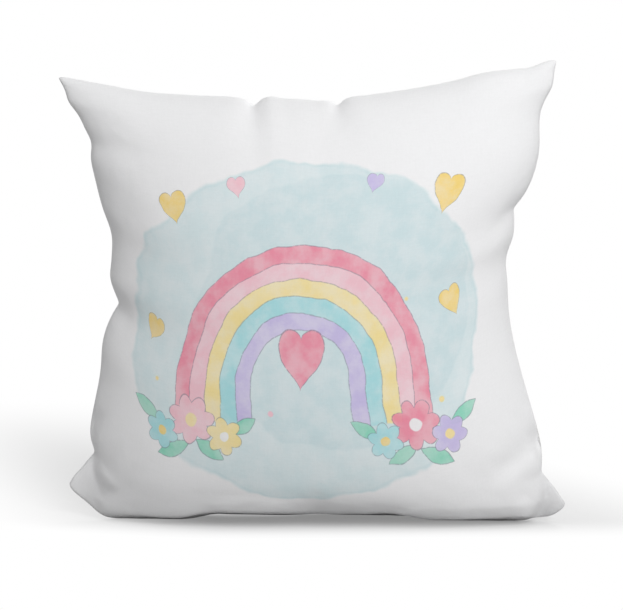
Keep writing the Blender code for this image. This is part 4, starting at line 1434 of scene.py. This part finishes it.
def makeTape(name, sign, node):
    beside = zipper["coilHalf"] + zipper["runGap"]
    run = np.linspace(-tapeHalf, tapeHalf, zipper["tapeColumns"])
    s, share = np.meshgrid(run, np.linspace(0, 1, zipper["tapeRows"]))
    apart = fade(np.maximum(np.abs(s) - zipHalf, 0), *zipper["tapeMeets"])
    inner = zipper["closedSlot"] / 2 + (beside - zipper["closedSlot"] / 2) * apart
    c = inner + (zipper["tapeWidth"] - inner) * share
    ripple = zipper["tapeRipple"] * np.sin(s * 210 + c * 300) * fade(share, 0.0, 1.0)
    level = chainLevel + zipper["tape"] / 2 + ripple - zipper["tapeSink"]
    outer = zipPoints(s, sign * c, level)
    lower = zipPoints(s, sign * c, level - zipper["tape"])
    rows, columns = outer.shape[:2]
    ring = ringOf(rows, columns)
    points = np.concatenate([outer.reshape(-1, 3), lower.reshape(-1, 3)])
    count = rows * columns
    flip = sign > 0
    faces = [gridFaces(rows, columns, flip), gridFaces(rows, columns, not flip) + count]
    faces.append(strips(ring, ring + count, flip))
    flatMap = np.stack([s, c], axis=-1).reshape(-1, 2) * centimetres
    maps = {"cloth": np.concatenate([flatMap, flatMap])}
    item = addPiece(name, points, np.concatenate(faces), [tapeFinish], None, maps)
    fit(item, node)


makeTape("zipTapeUpper", 1.0, "zip_tape_upper")
makeTape("zipTapeLower", -1.0, "zip_tape_lower")


def makeCoil(name, sign, node):
    start = -zipHalf + zipper["postLength"] + 3 * zipper["runGap"]
    count = int((zipHalf - zipper["coilEnd"] - start) / zipper["coilPitch"])
    angle = np.linspace(0, count * 2 * math.pi, count * zipper["coilPoints"] + 1)
    shift = zipper["coilPitch"] / 2 if sign < 0 else 0.0
    run = start + shift + zipper["coilPitch"] * angle / (2 * math.pi)
    wide = (zipper["coilHalf"] + zipper["coilOverlap"]) / 2 - zipper["coilWire"]
    middle = (zipper["coilHalf"] - zipper["coilOverlap"]) / 2
    flatter = np.sign(np.sin(angle)) * np.abs(np.sin(angle)) ** zipper["coilSquare"]
    across = middle - wide * np.cos(angle)
    # the last turns stand apart, where the slider's post comes to rest
    post = zipHalf - zipper["sliderLength"] - 3 * zipper["runGap"]
    parted = 1 - fade(run, *[post - before for before in zipper["coilParts"]])
    outer = zipper["coilHalf"] - zipper["coilWire"]
    inner = zipper["postHalf"] + zipper["runGap"] + zipper["coilWire"]
    narrow = (outer + inner) / 2 - (outer - inner) / 2 * np.cos(angle)
    across = across + (narrow - across) * parted
    points = zipPoints(run, sign * across, chainLevel + zipper["coilHeight"] * flatter)
    along = zipPoints(run + 0.001, 0.0, 0.0) - zipPoints(run, 0.0, 0.0)
    item = tubes(name, [points], along[None], zipper["coilWire"], 7, nylonFinish)
    fit(item, node)


makeCoil("zipCoilUpper", 1.0, "zip_teeth_upper")
makeCoil("zipCoilLower", -1.0, "zip_teeth_lower")


# one stitch from hole to hole: places along it, height over the cloth and thickness
stitchForm = dict(
    share=(0.04, 0.12, 0.3, 0.5, 0.7, 0.88, 0.96),
    lift=(-0.0006, 0.0001, 0.00032, 0.00036, 0.00032, 0.0001, -0.0006),
    taper=(0.6, 0.9, 1, 1, 1, 0.9, 0.6),
)


def makeStitchLine(name, sign, node):
    count = int(2 * barHalf / zipper["stitch"])
    begin = -barHalf + np.arange(count) * zipper["stitch"]
    run = begin[:, None] + np.array(stitchForm["share"]) * zipper["stitch"]
    across = sign * (slotHalf + zipper["stitchMargin"]) + np.zeros_like(run)
    paths = zipPoints(run, across, np.broadcast_to(stitchForm["lift"], run.shape))
    ups, taper = zipOutward(run), stitchForm["taper"]
    item = tubes(name, paths, ups, zipper["thread"], 7, threadFinish, taper=taper)
    fit(item, node)


makeStitchLine("zipStitchUpper", 1.0, "zip_stitch_upper")
makeStitchLine("zipStitchLower", -1.0, "zip_stitch_lower")


bar = dict(
    passes=9,
    points=9,
    past=0.0006,
    slant=0.00012,
    level=0.25,
    lift=0.00028,
    dive=0.0009,
    divePower=8,
    thread=0.75,
)


def makeThreadBar(name, middle, node):
    passes = bar["passes"]
    reach = slotHalf + bar["past"]
    share = np.linspace(-1, 1, bar["points"])
    level = chainLevel * bar["level"] + bar["lift"] - bar["dive"] * np.abs(share) ** bar["divePower"]
    paths, ups = [], []
    for number in range(passes):
        run = middle + zipper["bartackLength"] * (number / (passes - 1) - 0.5) + bar["slant"] * share
        paths.append(zipPoints(run, share * reach, level))
        ups.append(zipOutward(run))
    item = tubes(name, paths, np.array(ups), zipper["thread"] * bar["thread"], 6, threadFinish)
    fit(item, node)


makeThreadBar("zipBarRight", -barHalf, "zip_bartack_right")
makeThreadBar("zipBarLeft", barHalf, "zip_bartack_left")

# cast zip metal keeps its solids, with their edges broken
castEdge = dict(
    zip_slider=0.00028,
    zip_pull=0.00035,
    zip_top_stop_upper=0.0002,
    zip_top_stop_lower=0.0002,
    zip_bottom_stop=0.0003,
)
for node, width in castEdge.items():
    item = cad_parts[node]
    item.data.materials.clear()
    item.data.materials.append(metalFinish)
    edge = item.modifiers.new("edge", "BEVEL")
    edge.width = width
    edge.segments = 3
    edge.limit_method = "ANGLE"
    edge.harden_normals = False
print("zip made")


# insert inside the cover: non-woven case, its seam and the fibre
insert = dict(
    reach=0.90,
    rim=0.02,
    rounding=0.25,
    slack=0.0045,
    case=0.0005,
    layerGap=0.0004,
    flatSide=0.41,
    grid=61,
    step=0.01,
    lump=0.0012,
    lumpSink=1.2,
    lumpShare=0.5,
    valleyHeight=(0.020, 0.050),
    valleyEnd=0.223,
    caseEdge=0.0009,
    fill=0.75,
)
plateClear = zipper["plateClear"] + zipper["runGap"]
sliderUnder = chainLevel - plateClear - zipper["plate"]
caseInset = cover["cloth"] + insert["slack"]
zipValley = max(2 * insert["layerGap"] - sliderUnder - caseInset, 0.0)
caseFloor = cover["cloth"] + insert["layerGap"]
fillInset = caseInset + insert["case"] + insert["layerGap"]
fillFloor = caseFloor + insert["case"] + insert["layerGap"]


def insertPlace(a, b, reach):
    u = reach * a * np.sqrt(1 - insert["rounding"] * b**2)
    v = reach * b * np.sqrt(1 - insert["rounding"] * a**2)
    return u, v


def insertSurface(u, v, side, inset):
    points = halfSurface(u, v, side)
    step = insert["step"]
    across = halfSurface(u + step, v, side) - halfSurface(u - step, v, side)
    upward = halfSurface(u, v + step, side) - halfSurface(u, v - step, side)
    normal = unit(np.cross(across, upward) * -side)
    depth = np.full(u.shape, inset)
    if side > 0:
        valley = fade(points[..., 2] - zipper["height"], *insert["valleyHeight"])
        depth = depth + zipValley * valley * fade(points[..., 0], tapeHalf, insert["valleyEnd"])
    return points - depth[..., None] * normal


def insertGrid(side, inset, floor, standoff, rimReach):
    share = spaced(np.linspace(-1, 1, insert["grid"]))
    share = np.concatenate([[-1.0], share, [1.0]])
    a, b = np.meshgrid(share, share)
    u, v = insertPlace(a, b, insert["reach"])
    # uneven filling under the cloth
    lumps = np.sin(u * 23 + 1.3) * np.sin(v * 19 + 0.4) + 0.6 * np.sin(u * 41 - v * 37)
    sunk = insert["lump"] * insert["lumpSink"] - insert["lumpShare"] * (insert["lump"] * lumps)
    points = insertSurface(u, v, side, inset + sunk)
    x, z = seamPlane(*insertPlace(a, b, rimReach))
    rim = rimOf(a.shape)
    points[rim] = np.stack([x, np.full_like(x, side * standoff), z], axis=-1)[rim]
    return standing(points, floor)


def makeCase(name, side, node):
    points = insertGrid(side, caseInset, caseFloor, insert["caseEdge"], insert["reach"] + insert["rim"])
    flat = (insert["flatSide"], insert["flatSide"])
    item = sewnPanel(name, points, points, side, flat, insert["case"], [liningFinish, liningFinish])
    fit(item, node)


makeCase("insertCaseFront", -1, "insert_case_front")
makeCase("insertCaseBack", 1, "insert_case_back")


ring = insertPlace(*squareRing(seam["insertCount"]), insert["reach"] + insert["rim"])
makeSeamThread("insertSeamStitches", *ring, caseFloor + seam["thread"], "insert_seam_thread")


def makeFilling():
    reach = insert["reach"] + insert["rim"] / 2
    halves = [insertGrid(side, fillInset, fillFloor, 0.0, reach) for side in (-1, 1)]
    rows, columns = halves[0].shape[:2]
    ring = ringOf(rows, columns)
    count = rows * columns
    shared = np.arange(2 * count)
    shared[count + ring] = ring
    rear = shared[gridFaces(rows, columns, True) + count]
    faces = np.concatenate([gridFaces(rows, columns, False), rear])
    points = np.concatenate([half.reshape(-1, 3) for half in halves])
    used = np.unique(faces)
    renumber = np.zeros(len(points), int)
    renumber[used] = np.arange(len(used))
    item = addPiece("insertFibre", points[used], renumber[faces], [fibreFinish])
    fit(item, "insert_filling")


makeFilling()
print("insert made")
